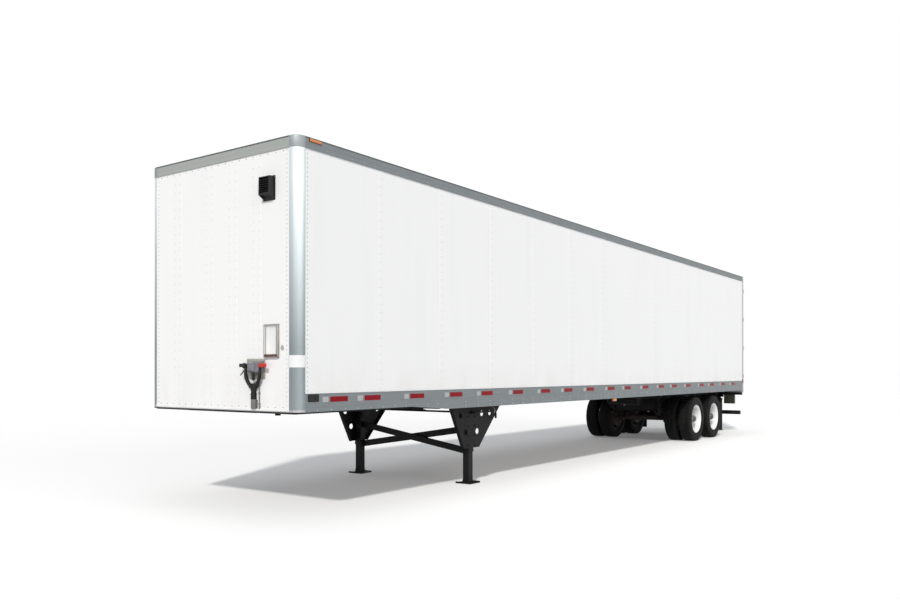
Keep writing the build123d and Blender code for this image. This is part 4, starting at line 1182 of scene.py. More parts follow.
def leg_details():
    """Fork, pin and rolled rim at each foot; collar, seam and grease point on each leg."""
    shoe = block("sand_shoe", (LEG_X - SHOE_HALF, LEG_Y - SHOE_HALF, 0),
                 (LEG_X + SHOE_HALF, LEG_Y + SHOE_HALF, 0.013))
    edit(shoe, facing("z", 1))
    inset(0.030)
    pull(0, 0, -0.006)
    done()
    rounded(shoe, 0.0035, 2)
    rim, forks = [], []
    for sign in (1, -1):
        lip = block("lip", (LEG_X - SHOE_HALF, LEG_Y + sign * SHOE_HALF, 0.006),
                    (LEG_X + SHOE_HALF, LEG_Y + sign * 0.121, 0.026), 0.002, 2)
        rim.append(lip)
    place(both_sides(joined("sand_shoes_fine", [shoe, *rim])), LEG_BLACK, "black_steel",
          replaces=["sand_shoes"])

    for sign in (1, -1):
        outline = [(LEG_X - 0.058, 0.010), (LEG_X + 0.058, 0.010), (LEG_X + 0.040, 0.100),
                   (LEG_X + 0.022, 0.122), (LEG_X - 0.022, 0.122), (LEG_X - 0.040, 0.100)]
        fork = outline_plate("fork", outline, "y", LEG_Y + sign * 0.0505, LEG_Y + sign * 0.0585)
        forks.append(rounded(fork, 0.001, 1))
    place(both_sides(joined("foot_forks", forks)), LEG_BLACK, "black_steel")
    pin = bar_y("foot_pins", LEG_X, LEG_Y - 0.074, LEG_Y + 0.074, FOOT_PIN_Z, 0.0125, 20)
    keeper = bar_x("keeper", LEG_X - 0.020, LEG_X + 0.020, LEG_Y + 0.068, FOOT_PIN_Z, 0.003, 8)
    place(both_sides(joined("foot_pins", [rounded(pin, 0.002, 1), keeper])), LEG_BLACK, "black_steel")

    edge = LEG_HALF + 0.004
    collar = block("collar", (LEG_X - edge, LEG_Y - edge, 0.450), (LEG_X + edge, LEG_Y + edge, 0.474))
    wiper = block("wiper", (LEG_X - 0.0535, LEG_Y - 0.0535, 0.443), (LEG_X + 0.0535, LEG_Y + 0.0535, 0.451))
    weld = row(bar_z("weld", LEG_X - LEG_HALF, LEG_Y - LEG_HALF, 0.50, 0.512, 0.004, 8), 44, (0, 0, 0.0125))
    place(both_sides(joined("leg_collars", [rounded(collar, 0.003, 2), rounded(wiper, 0.002, 1), weld])),
          LEG_BLACK, "black_steel")
    grease = hex_bolt("grease_points", (LEG_X, LEG_Y - LEG_HALF, 0.60), (0, -1, 0), 0.006, 0.012)
    place(both_sides(grease), LEG_BLACK, "black_steel")


def wing_plate_details():
    """Bolts along the plates' tops and beside the legs, folded edges and stiffening angles."""
    top = row(hex_bolt("top", (PLATE_X, LEG_Y - 0.42, 1.082), (1, 0, 0), 0.010, 0.008), 7, (0, 0.18, 0))
    beside = row(hex_bolt("beside", (PLATE_X, LEG_Y - 0.082, 0.545), (1, 0, 0), 0.011, 0.009), 4,
                 (0, 0, 0.135))
    beside = moved(beside, [(0, 0, 0), (0, 0.164, 0)])
    place(both_sides(joined("wing_plate_bolts", [top, beside])), LEG_BLACK, "black_steel")
    folds = []
    for foot, top_y in ((-0.185, -0.495), (0.195, 0.772)):
        run, rise = top_y - foot, 1.092 - 0.515
        length = (run * run + rise * rise) ** 0.5
        fold = block("fold", (PLATE_X - 0.034, -0.004, 0), (PLATE_X - 0.008, 0.004, length * 0.98))
        fold.rotation_euler = (-Vector((0, run, rise)).angle(Vector((0, 0, 1))) * (1 if run > 0 else -1), 0,
                               0)
        inward = 0.006 if run < 0 else -0.006
        fold.location = (0, LEG_Y + foot + inward, 0.513)
        settle(fold)
        folds.append(rounded(fold, 0.0015, 1))
    place(both_sides(joined("wing_plate_folds", folds)), LEG_BLACK, "black_steel")
    flange = block("wing_plate_heads", (PLATE_X - 0.070, LEG_Y - 0.49, 1.0975),
                   (PLATE_X - 0.004, LEG_Y + 0.765, 1.1035), 0.001)
    place(both_sides(flange), LEG_BLACK, "black_steel")


def gearbox_details():
    """Covers, bolts and bosses on the gearboxes, the shaft's couplings and the folding crank."""
    inner = 0.9027
    cover = block("cover", (inner - 0.006, LEG_Y - 0.084, 0.900), (inner + 0.001, LEG_Y + 0.084, 1.080),
                  0.004, 2)
    boss = bar_x("boss", inner - 0.020, inner - 0.004, LEG_Y, GEAR_Z, 0.027, 28, 0.002)
    case = remade("leg_gearboxes", 0.008, 3)
    place(case, LEG_BLACK, "black_steel", replaces=["leg_gearboxes"])
    place(both_sides(joined("gearbox_covers", [cover, boss])), LEG_BLACK, "black_steel")
    bolt = hex_bolt("gearbox_bolts", (inner - 0.006, LEG_Y - 0.072, 0.912), (-1, 0, 0), 0.0065, 0.005)
    bolts = moved(bolt, [(0, y, z) for y in (0, 0.144) for z in (0, 0.078, 0.156)])
    place(both_sides(bolts), LEG_BLACK, "black_steel")
    sleeve = bar_x("shaft_couplings", 0.800, 0.870, LEG_Y, GEAR_Z, 0.0185, 20)
    bolt = bar_y("bolt", 0.835, LEG_Y - 0.028, LEG_Y + 0.028, GEAR_Z, 0.005, 8)
    place(both_sides(joined("shaft_couplings", [rounded(sleeve, 0.002, 1), bolt])), BOLT, "zinc")

    out, back, low = PLATE_X + 0.060, LEG_Y + 0.545, GEAR_Z
    crank = as_mesh(pipe("crank", [
        (PLATE_X - 0.02, LEG_Y, low), (out - 0.03, LEG_Y, low), (out, LEG_Y, low), (out, LEG_Y + 0.03, low),
        (out, back - 0.04, low), (out, back, low), (out, back, low - 0.04), (out, back, low - 0.100),
    ], 0.0125, 16))
    grip = bar_z("grip", out, back, low - 0.034, low - 0.105, 0.0160, 24, 0.003, 2)
    hub = bar_x("hub", PLATE_X - 0.001, PLATE_X + 0.022, LEG_Y, low, 0.024, 24, 0.002)
    place(joined("folding_crank", [crank, grip, hub]), LEG_BLACK, "black_steel", replaces=["crank_handle"])
    hook = as_mesh(pipe("crank_hook", [
        (PLATE_X - 0.004, LEG_Y + 0.50, 1.085), (PLATE_X + 0.035, LEG_Y + 0.50, 1.080),
        (out + 0.010, LEG_Y + 0.50, 1.060), (out + 0.016, LEG_Y + 0.50, 0.988),
        (out - 0.008, LEG_Y + 0.50, 0.986),
    ], 0.0045, 8))
    place(hook, BOLT, "zinc")


def brace_details():
    """Bolts at the crossing and at the ends of the cross braces."""
    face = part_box("leg_braces")[0][1]
    middle_bolt = hex_bolt("brace_bolt", (0, LEG_Y - 0.008, 0.615), (0, -1, 0), 0.012, 0.010)
    place(middle_bolt, LEG_BLACK, "black_steel")
    ends = [hex_bolt("bolt", (0.948, face, z), (0, -1, 0), 0.010, 0.008) for z in (0.478, 0.752)]
    place(both_sides(joined("brace_end_bolts", ends)), LEG_BLACK, "black_steel")


leg_details()
wing_plate_details()
gearbox_details()
brace_details()


# ---- twin wheels ----

DUAL_X, DUAL_HALF = 0.984, 0.1715
SLIDE_X, STUD_CIRCLE_R = 0.560, 0.1429
DISH_FRONT = [
    (0.012, 0.084), (0.012, 0.176), (0.018, 0.197), (0.040, 0.222), (0.078, 0.247), (0.116, 0.262),
    (0.166, 0.266), (0.216, 0.268), (0.250, 0.276), (0.267, 0.288), (0.277, 0.299), (0.283, 0.310),
    (0.2875, 0.3145), (0.2900, 0.3175), (0.2875, 0.3205), (0.2825, 0.3195),
]
RIM_BACK = [
    (0.277, 0.3125), (0.271, 0.301), (0.260, 0.2905), (0.244, 0.2835), (0.206, 0.2765), (0.166, 0.2745),
    (0.106, 0.2745), (0.080, 0.290), (0.069, 0.301), (0.062, 0.3125), (0.0575, 0.3195), (0.0520, 0.3205),
    (0.0500, 0.3175), (0.0525, 0.312), (0.060, 0.298), (0.072, 0.282), (0.091, 0.269), (0.066, 0.253),
    (0.028, 0.227), (0.008, 0.201), (0.002, 0.178), (0.002, 0.084),
]
TYRE_HALF = [
    (0.0260, 0.5075), (0.0275, 0.4960), (0.0340, 0.4960), (0.0355, 0.5075), (0.0690, 0.5068),
    (0.0705, 0.4955), (0.0770, 0.4955), (0.0785, 0.5064), (0.1060, 0.5050), (0.1150, 0.5010),
    (0.1200, 0.4930), (0.1225, 0.4800), (0.1290, 0.4620), (0.1345, 0.4400), (0.1372, 0.4150),
    (0.1370, 0.3900), (0.1345, 0.3700), (0.1340, 0.3680), (0.1300, 0.3560), (0.1300, 0.3500),
    (0.1318, 0.3465), (0.1300, 0.3430), (0.1230, 0.3330), (0.1150, 0.3220), (0.1070, 0.3130),
    (0.0960, 0.3080),
]


def cut(piece, cutter):
    """Takes one piece out of another."""
    modify(piece, "BOOLEAN", operation="DIFFERENCE", object=cutter, solver="EXACT")
    bpy.data.objects.remove(cutter)
    return piece


def ribbed_tyres():
    """The left pair of tyres: straight ribs, notched shoulders and a raised line on each sidewall."""
    profile = TYRE_HALF + [(-x, r) for x, r in reversed(TYRE_HALF)]
    tyre = turned("tyre", (0, 0, 0), profile, 96, closed=True)
    lug = block("lug", (0.1130, -0.0075, 0.4860), (0.1235, 0.0075, 0.5005), 0.002)
    lugs = about(lug, 66, (0, 0, 0))
    tyre = joined("tyre", [tyre, both_sides(lugs)])
    return moved(tyre, [(DUAL_X - DUAL_HALF, 0, 0), (DUAL_X + DUAL_HALF, 0, 0)])


def dished_wheels():
    """The left pair of wheels back to back, with their hand holes."""
    wheels = []
    for sign in (1, -1):
        profile = [(sign * x, r) for x, r in DISH_FRONT + RIM_BACK]
        wheel = turned("wheel", (DUAL_X, 0, 0), profile, 96, closed=True)
        hole = bar_x("hole", DUAL_X - 0.10, DUAL_X + 0.10, 0, 0.232, 0.029, 32)
        wheels.append(cut(wheel, about(hole, 2, (0, 0, 0))))
    return joined("dished_wheels", wheels)


def hub_and_nuts():
    """The left hub; and its studs with flanged nuts, the cap's screws and the valve stem."""
    barrel = turned("hub", (DUAL_X, 0, 0), [
        (-0.095, 0.070), (-0.095, 0.098), (-0.012, 0.104), (-0.012, 0.168), (-0.0005, 0.168),
        (-0.0005, 0.112), (0.020, 0.110), (0.028, 0.098), (0.120, 0.087), (0.216, 0.082), (0.228, 0.076),
        (0.236, 0.074), (0.236, 0.040),
    ], 64)
    face = DUAL_X + 0.012
    parts = [
        bar(name, (face + low, 0, STUD_CIRCLE_R), (face + high, 0, STUD_CIRCLE_R), radius, sides, bevel)
        for name, low, high, radius, sides, bevel in (
            ("flange", 0, 0.005, 0.0215, 20, 0), ("nut", 0.004, 0.027, 0.0185, 6, 0.002),
            ("stud", 0.020, 0.042, 0.0105, 14, 0.0015),
        )
    ]
    nuts = about(joined("nuts", parts), 10, (0, 0, 0))
    screw = hex_bolt("screw", (DUAL_X + 0.2415, 0, 0.0640), (1, 0, 0), 0.0055, 0.004)
    screws = about(screw, 6, (0, 0, 0), 0.3)
    stem = as_mesh(pipe("stem", [(DUAL_X + 0.100, 0.030, -0.262), (DUAL_X + 0.095, 0.030, -0.235),
                                 (DUAL_X + 0.150, 0.030, -0.222)], 0.0042, 8))
    return barrel, joined("wheel_nuts", [nuts, screws, stem])


def hub_cap():
    """The left oil cap: flange, domed body, clear window's ring and the plug."""
    return turned("hub_cap", (DUAL_X, 0, 0), [
        (0.234, 0.0720), (0.242, 0.0720), (0.243, 0.0585), (0.259, 0.0565), (0.2645, 0.0520),
        (0.2650, 0.0360), (0.2610, 0.0340), (0.2605, 0.0180), (0.2655, 0.0165), (0.2665, 0.0120),
    ], 48)


def brake_drum():
    """The left drum, open towards the axle, with its stiffening ribs."""
    return turned("brake_drum", (DUAL_X, 0, 0), [
        (-0.262, 0.2130), (-0.240, 0.2150), (-0.236, 0.2080), (-0.200, 0.2080), (-0.198, 0.2120),
        (-0.188, 0.2120), (-0.186, 0.2080), (-0.130, 0.2080), (-0.060, 0.2000), (-0.030, 0.1720),
        (-0.014, 0.1680), (-0.014, 0.0980), (-0.028, 0.0980), (-0.040, 0.1600), (-0.075, 0.1880),
        (-0.140, 0.1960), (-0.262, 0.1980),
    ], 72, closed=True)


def fit_wheels():
    """Copies the left set to all four axle ends."""
    barrel, nuts = hub_and_nuts()
    kinds = (
        ("ribbed_tyres", ribbed_tyres(), TYRE, "tyre", "tyres"),
        ("dished_wheels", dished_wheels(), ENAMEL, "wheel_white", "wheels"),
        ("hub", barrel, HUB_PAINT, "chamber_grey", None), ("wheel_nuts", nuts, BOLT, "zinc", None),
        ("hub_cap", hub_cap(), CAP_GREY, "zinc", None),
        ("brake_drum", brake_drum(), CAST, "chamber_grey", None),
    )
    for name, source, finish, slot, node_kind in kinds:
        for side, sign in SIDES:
            for where, y in AXLES.items():
                copy = source.copy()
                copy.data = source.data.copy()
                copy.name = f"{name}_{side}_{where}"
                turn = Matrix.Translation((0, y, AXLE_Z)) @ Matrix.Rotation(0.35 * sign + y, 4, "X")
                copy.data.transform(turn @ Matrix.Scale(sign, 4, (1, 0, 0)))
                if sign < 0:
                    copy.data.flip_normals()
                bpy.context.collection.objects.link(copy)
                replaced = [f"{node_kind}_{side}_{where}"] if node_kind else []
                place(copy, finish, slot, f"wheel_{side}_{where}", replaced, 32)
        bpy.data.objects.remove(source)


# ---- suspension, brakes and air ----

SPRING_Z, CAMBER = 0.735, 0.060
HANGERS_Y = (station(11.9805), station(13.143), station(14.3055))
PIVOT_Z, PIN_HOLE_Z = 0.762, 1.052


def spring_details():
    """U-bolts, plates, leaf clips and the hangers' bolts, for all four springs."""
    bolts, clips = [], []
    for y in AXLES.values():
        top, low = SPRING_Z - CAMBER, AXLE_Z - 0.0635
        plate = block("plate", (SLIDE_X - 0.052, y - 0.080, top), (SLIDE_X + 0.052, y + 0.080, top + 0.016),
                      0.003)
        under = block("under", (SLIDE_X - 0.052, y - 0.080, low - 0.016),
                      (SLIDE_X + 0.052, y + 0.080, low + 0.004), 0.003)
        bolts += [plate, under]
        for dx in (-0.0435, 0.0435):
            for dy in (-0.058, 0.058):
                rod = bar_z("rod", SLIDE_X + dx, y + dy, low - 0.040, top + 0.030, 0.0085, 12)
                nut = bar_z("nut", SLIDE_X + dx, y + dy, low - 0.032, low - 0.016, 0.0150, 6)
                head = bar_z("head", SLIDE_X + dx, y + dy, top + 0.016, top + 0.026, 0.0140, 6)
                bolts += [rod, nut, head]
        for dy in (-0.275, 0.275):
            clip = block("clip", (SLIDE_X - 0.0415, y + dy - 0.014, top - 0.021),
                         (SLIDE_X + 0.0415, y + dy + 0.014, top + 0.021), 0.003)
            pin = bar_x("pin", SLIDE_X - 0.050, SLIDE_X + 0.050, y + dy, top + 0.022, 0.006, 8)
            clips += [clip, pin]
    place(both_sides(joined("spring_u_bolts", bolts)), CHASSIS_RUST, "spring_steel")
    place(both_sides(joined("leaf_clips", clips)), SPRING, "spring_steel")

    heads = []
    for y in HANGERS_Y:
        outer, inner = SLIDE_X + 0.0525, SLIDE_X - 0.0525
        for dy, z in ((-0.055, 0.66), (0.055, 0.66), (-0.09, 0.84), (0.09, 0.84)):
            heads.append(hex_bolt("bolt", (outer, y + dy, z), (1, 0, 0), 0.012, 0.010))
            heads.append(hex_bolt("bolt", (inner, y + dy, z), (-1, 0, 0), 0.012, 0.010))
    y = HANGERS_Y[1]
    heads.append(bar_x("pivot", SLIDE_X - 0.075, SLIDE_X + 0.075, y, PIVOT_Z, 0.024, 24))
    heads.append(bar_x("nut", SLIDE_X - 0.090, SLIDE_X + 0.090, y, PIVOT_Z, 0.018, 6))
    place(both_sides(joined("hanger_bolts", heads)), CHASSIS_RUST, "black_steel")

    arms = []
    for start, y in zip(HANGERS_Y, AXLES.values()):
        a, b = Vector((SLIDE_X, start, 0.640)), Vector((SLIDE_X, y - 0.085, AXLE_Z - 0.010))
        arms.append(bar("arm", a, b, 0.0165, 20))
        for end in (a, b):
            arms.append(bar_x("eye", end.x - 0.036, end.x + 0.036, end.y, end.z, 0.031, 24, 0.003))
            arms.append(bar_x("bolt", end.x - 0.054, end.x + 0.054, end.y, end.z, 0.012, 6))
        arms.append(bar("sleeve", a.lerp(b, 0.42), a.lerp(b, 0.58), 0.0215, 6))
    place(both_sides(joined("torque_arms", arms)), CHASSIS_RUST, "black_steel")


def brake_details():
    """Chambers with clamp bands and ports, push rods, slack adjusters, camshafts and shields."""
    x, z = 0.380, 0.598
    for where, y in AXLES.items():
        start = y + 0.1285
        cans = [
            bar_y("can", x, start + a, start + b, z, r, 48, bevel, 3)
            for a, b, r, bevel in ((0, 0.060, 0.070, 0.012), (0.058, 0.118, 0.071, 0.004),
                                   (0.118, 0.222, 0.073, 0.022), (0.216, 0.230, 0.024, 0.003))
        ]
        bands = []
        for a in (0.050, 0.106):
            bands.append(bar_y("band", x, start + a, start + a + 0.022, z, 0.0795, 48, 0.004, 2))
            bands.append(block("lug", (x - 0.014, start + a + 0.002, z + 0.070),
                               (x + 0.014, start + a + 0.020, z + 0.094), 0.002))
            bands.append(bar_x("bolt", x - 0.026, x + 0.026, start + a + 0.011, z + 0.085, 0.0045, 8))
        ports = [bar_z("port", x + dx, start + a, z + 0.05, z + 0.086, 0.009, 6)
                 for a, dx in ((0.030, 0.030), (0.085, -0.030))]
        name = f"brake_cans_{where}"
        place(both_sides(joined(name, cans)), CHAMBER, "chamber_grey", replaces=["brake_chambers"])
        place(both_sides(joined(f"{name}_bands", bands + ports)), CHASSIS_RUST, "zinc")

        rod = bar_y("rod", x, start + 0.004, y - 0.098, z, 0.008, 12)
        cam_y, cam_z = y - 0.112, AXLE_Z - 0.020
        arm = outline_plate("arm", [
            (cam_y - 0.030, cam_z - 0.020), (cam_y + 0.026, cam_z - 0.026), (cam_y + 0.034, cam_z + 0.014),
            (y - 0.090, z - 0.018), (y - 0.090, z + 0.014), (y - 0.112, z + 0.016),
            (cam_y - 0.034, cam_z + 0.010),
        ], "x", x - 0.012, x + 0.012)
        rounded(arm, 0.004, 2)
        clevis = [
            block("clevis", (low, y - 0.118, z - 0.014), (high, y - 0.070, z + 0.014), 0.002)
            for low, high in ((x - 0.020, x - 0.014), (x + 0.014, x + 0.020))
        ]
        clevis.append(bar_x("pin", x - 0.026, x + 0.026, y - 0.102, z, 0.0065, 12))
        shaft = bar_x("shaft", x - 0.030, 0.712, cam_y, cam_z, 0.0165, 20)
        tube = bar_x("tube", 0.470, 0.690, cam_y, cam_z, 0.024, 24)
        ear = outline_plate("ear", [
            (cam_y - 0.030, cam_z - 0.026), (cam_y + 0.05, cam_z - 0.036), (y - 0.04, AXLE_Z - 0.03),
            (y - 0.04, AXLE_Z + 0.03), (cam_y + 0.02, cam_z + 0.030), (cam_y - 0.030, cam_z + 0.022),
        ], "x", 0.455, 0.465)
        place(both_sides(joined(f"{name}_linkage", [rod, arm, *clevis, shaft, tube, ear])), BRAKE_RUST,
              "spring_steel")

        shield = turned("shield", (0.704, y, AXLE_Z),
                        [(0, 0.066), (0, 0.150), (-0.012, 0.165), (-0.012, 0.222), (0.004, 0.230),
                         (0.008, 0.230), (0.008, 0.216), (0.006, 0.150), (0.006, 0.066)], 64, closed=True)
        spider = turned("spider", (0.700, y, AXLE_Z),
                        [(-0.030, 0.065), (-0.030, 0.090), (0.0, 0.120), (0.004, 0.120), (0.004, 0.065)],
                        32, closed=True)
        heads = about(hex_bolt("bolt", (0.704, y, AXLE_Z + 0.132), (-1, 0, 0), 0.008, 0.006), 8,
                      (0, y, AXLE_Z), 0.2)
        place(both_sides(joined(f"{name}_shields", [shield, spider, heads])), BRAKE_RUST, "spring_steel")


def air_tank_details():
    """The tank with pressed ends, straps, fittings and drain."""
    low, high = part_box("air_tank")
    y, r = (low[1] + high[1]) / 2, (high[1] - low[1]) / 2
    z, half, top = low[2] + r, high[0], 1.131
    tank = bar_x("tank", -half, half, y, z, r, 64, 0.034, 5)
    seam = bar_x("seam", -half + 0.060, -half + 0.066, y, z, r + 0.0015, 64)
    seam = moved(seam, [(0, 0, 0), (2 * half - 0.126, 0, 0)])
    place(joined("pressed_air_tank", [tank, seam]), BLACK, "black_steel", replaces=["air_tank"])
    straps = []
    for x in (-half + 0.130, half - 0.130):
        strap = bar_x("strap", x - 0.016, x + 0.016, y, z, r + 0.003, 64)
        saddle = block("saddle", (x - 0.030, y - 0.060, z + r * 0.60), (x + 0.030, y + 0.060, top), 0.004,
                       2)
        straps += [rounded(strap, 0.001, 1), saddle]
        straps.append(bar_z("stay", x, y + r + 0.008, z, top, 0.005, 8))
        straps.append(bar_z("stay", x, y - r - 0.008, z, top, 0.005, 8))
    place(joined("tank_straps", straps), BLACK, "black_steel")
    drain = bar_z("drain", 0, y, z - r + 0.002, z - r - 0.022, 0.010, 6)
    ports = [bar("port", (s * half * 0.55, y - r * 0.70, z + r * 0.70),
                 (s * half * 0.55, y - r * 0.82, z + r * 0.82), 0.014, 6) for s in (1, -1)]
    place(joined("tank_fittings", [drain, *ports]), BOLT, "zinc")


def slider_details():
    """Collars of the pin holes along the rails, locking pins, their pull bar and the stops."""
    low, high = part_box("slide_rails")
    collar = turned("collar", (high[0] - 0.0005, low[1] + 0.30, PIN_HOLE_Z),
                    [(0, 0.016), (0.003, 0.016), (0.003, 0.024), (0, 0.024)], 20, closed=True)
    place(both_sides(row(collar, 32, (0, 0.152, 0))), BLACK, "black_steel")
    pins, first, last = [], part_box("bogie_members")[0][1] + 0.16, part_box("bogie_members")[1][1] - 0.16
    for y in (first, last):
        pins.append(bar_x("pin", SLIDE_X - 0.085, SLIDE_X + 0.075, y, PIN_HOLE_Z, 0.019, 24))
        lug = block("lug", (SLIDE_X - 0.086, y - 0.035, 0.960), (SLIDE_X - 0.060, y + 0.035, 1.085), 0.004,
                    2)
        pins.append(lug)
    place(both_sides(joined("locking_pins", pins)), BOLT, "zinc")
    grip_y, bar_low = first + 0.20, 0.985
    rail = bar_y("pull_bar", SLIDE_X - 0.10, first + 0.05, last, bar_low, 0.010, 12)
    grip = as_mesh(pipe("grip", [(SLIDE_X - 0.10, grip_y, bar_low), (SLIDE_X + 0.15, grip_y, 0.930),
                                 (1.18, grip_y, 0.930), (1.24, grip_y, 0.930), (1.24, grip_y, 0.885),
                                 (1.16, grip_y, 0.885)], 0.008, 10))
    place(joined("pull_bar", [rail, grip]), BLACK, "black_steel")
    stop = block("slider_stops", (SLIDE_X - 0.060, high[1] - 0.09, 0.975),
                 (SLIDE_X + 0.060, high[1] - 0.05, 1.001), 0.004, 2)
    place(both_sides(stop), BLACK, "black_steel")


def hanger_web_details():
    """Deep webs between the hangers, with a flange along their lower edge and lightening holes."""
    webs = []
    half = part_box("bogie_crossbeams")[1][0] - 0.002
    for y in HANGERS_Y:
        web = outline_plate("web", [
            (-half, 0.990), (-half, 0.760), (-half + 0.090, 0.690), (half - 0.090, 0.690), (half, 0.760),
            (half, 0.990),
        ], "y", y - 0.004, y + 0.004)
        for x in (-0.27, 0, 0.27):
            web = cut(web, bar_y("hole", x, y - 0.02, y + 0.02, 0.905, 0.038, 32))
        flange = block("flange", (-half + 0.085, y - 0.032, 0.686), (half - 0.085, y + 0.032, 0.694), 0.003,
                       2)
        webs += [rounded(web, 0.0015, 1), flange]
    place(joined("hanger_webs", webs), BLACK, "black_steel")


def flap_details():
    """Moulded flaps with ribs, a clamp strip, bolts and end caps."""
    low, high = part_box("mud_flaps")
    y0, y1, x0, x1 = low[1], high[1], 0.690, high[0]
    flap = block("flap", (x0, y0, low[2]), (x1, y1, high[2]), 0.003, 2)
    ribs = row(block("rib", (x0 + 0.03, y0 - 0.003, low[2] + 0.05),
                     (x0 + 0.036, y0 + 0.001, high[2] - 0.10), 0.0008), 22, (0.0248, 0, 0))
    backs = row(block("back", (x0 + 0.03, y1 - 0.001, low[2] + 0.05),
                      (x0 + 0.036, y1 + 0.003, high[2] - 0.10), 0.0008), 22, (0.0248, 0, 0))
    place(both_sides(joined("ribbed_flaps", [flap, ribs, backs])), FLAP, "flap_rubber",
          replaces=["mud_flaps"])
    clamp = block("clamp", (x0, y0 - 0.005, high[2] - 0.055), (x1, y0, high[2] - 0.004), 0.001)
    heads = row(hex_bolt("bolt", (x0 + 0.04, y0 - 0.005, high[2] - 0.030), (0, -1, 0), 0.008, 0.006), 6,
                (0.102, 0, 0))
    cap = block("cap", (x1 - 0.001, y0 - 0.0165, high[2] - 0.0005),
                (x1 + 0.004, y1 + 0.0165, high[2] + 0.0405), 0.002)
    place(both_sides(joined("flap_clamps", [clamp, heads, cap])), BLACK, "black_steel")


fit_wheels()
spring_details()
brake_details()
air_tank_details()
slider_details()
hanger_web_details()
flap_details()


# ---- doors and rear frame ----

LENGTH, KINGPIN = 16.154, 0.914
REAR_FACE = station(LENGTH)
STRIP_L, RED_STRIP_L = 0.178, 0.279
DOOR_IN, DOOR_OUT, DOOR_LOW, DOOR_TOP = 0.005, 1.2275, 1.213, 3.987
HINGES_Z = (1.473, 2.2243, 2.9757, 3.727)
PIN_X, PIN_Y = 1.2815, station(16.199)
RODS_X = (0.280, 0.880)
GUIDES_Z = (1.55975, 2.25325, 2.94675, 3.64025)
HANDLES = ((0.280, 0.610, 1.494), (0.880, 0.550, 1.634))


def on_doors(name, source, finish, slot):
    """A left door's piece and its twin on the right door, each on its own door."""
    for side, sign in SIDES:
        copy = source.copy()
        copy.data = source.data.copy()
        copy.name = f"{name}_{side}"
        if sign < 0:
            copy.data.transform(Matrix.Scale(-1, 4, (1, 0, 0)))
            copy.data.flip_normals()
        bpy.context.collection.objects.link(copy)
        place(copy, finish, slot, f"door_{side}_swing")
    bpy.data.objects.remove(source)


def rear_strip(name, low, high):
    """A reflective strip on the rear face, between two (x, z) corners."""
    return block(name, (low[0], REAR_FACE - 0.001, low[1]), (high[0], REAR_FACE + 0.0012, high[1]), 0.0005)


def door_details():
    """Edge trims, seals, strap bolts, rod bearings, hasps and the reflective strips of both doors."""
    y, wide, inside = REAR_FACE, 0.034, station(16.109)
    low_x, high_x, low_z, high_z = DOOR_IN + 0.002, DOOR_OUT - 0.001, DOOR_LOW + 0.001, DOOR_TOP - 0.001
    trims = border("trim", (low_x, y - 0.002, low_z), (high_x, y + 0.0035, high_z), wide, 0.0012, wide)
    on_doors("door_trims", joined("door_trims", trims), STAINLESS, "bare_metal")
    seals = border("seal", (low_x, inside - 0.005, low_z), (high_x, inside + 0.002, high_z), 0.018, 0.002)
    on_doors("door_seals", joined("door_seals", seals), SEAL, "hose_rubber")

    heads = []
    for z in HINGES_Z:
        for x in (0.952, 1.020, 1.100):
            heads.append(hex_bolt("bolt", (x, y + 0.008, z), (0, 1, 0), 0.0085, 0.006))
    for x in RODS_X:
        for z in GUIDES_Z:
            base = block("base", (x - 0.045, y - 0.001, z - 0.021), (x + 0.045, y + 0.003, z + 0.021),
                         0.001)
            heads.append(base)
            for dx in (-0.036, 0.036):
                heads.append(dome("rivet", (x + dx, y + 0.003, z), (0, 1, 0), 0.0065, 0.004))
    for start, end, z in HANDLES:
        x = end - 0.055 * (1 if end > start else -1)
        hasp = block("hasp", (x - 0.02, y - 0.001, z - 0.026), (x + 0.02, y + 0.018, z - 0.018), 0.001)
        back = block("back", (x - 0.028, y - 0.001, z - 0.045), (x + 0.028, y + 0.003, z + 0.045), 0.001)
        heads += [hasp, back]
        for dz in (-0.036, 0.036):
            heads.append(dome("rivet", (x, y + 0.003, z + dz), (0, 1, 0), 0.006, 0.0035))
    on_doors("door_hardware", joined("door_hardware", heads), BOLT, "zinc")

    start = 0.060
    strips, reds = [], []
    while start + STRIP_L + RED_STRIP_L < DOOR_OUT - 0.04:
        strips.append(rear_strip("strip", (start, 1.262), (start + STRIP_L, 1.312)))
        reds.append(rear_strip("strip", (start + 0.182, 1.262), (start + STRIP_L + RED_STRIP_L, 1.312)))
        start += STRIP_L + RED_STRIP_L + 0.004
    on_doors("door_silver_strips", joined("door_silver_strips", strips), WHITE_TAPE, "rail_grey")
    on_doors("door_red_strips", joined("door_red_strips", reds), RED_TAPE, "rail_grey")


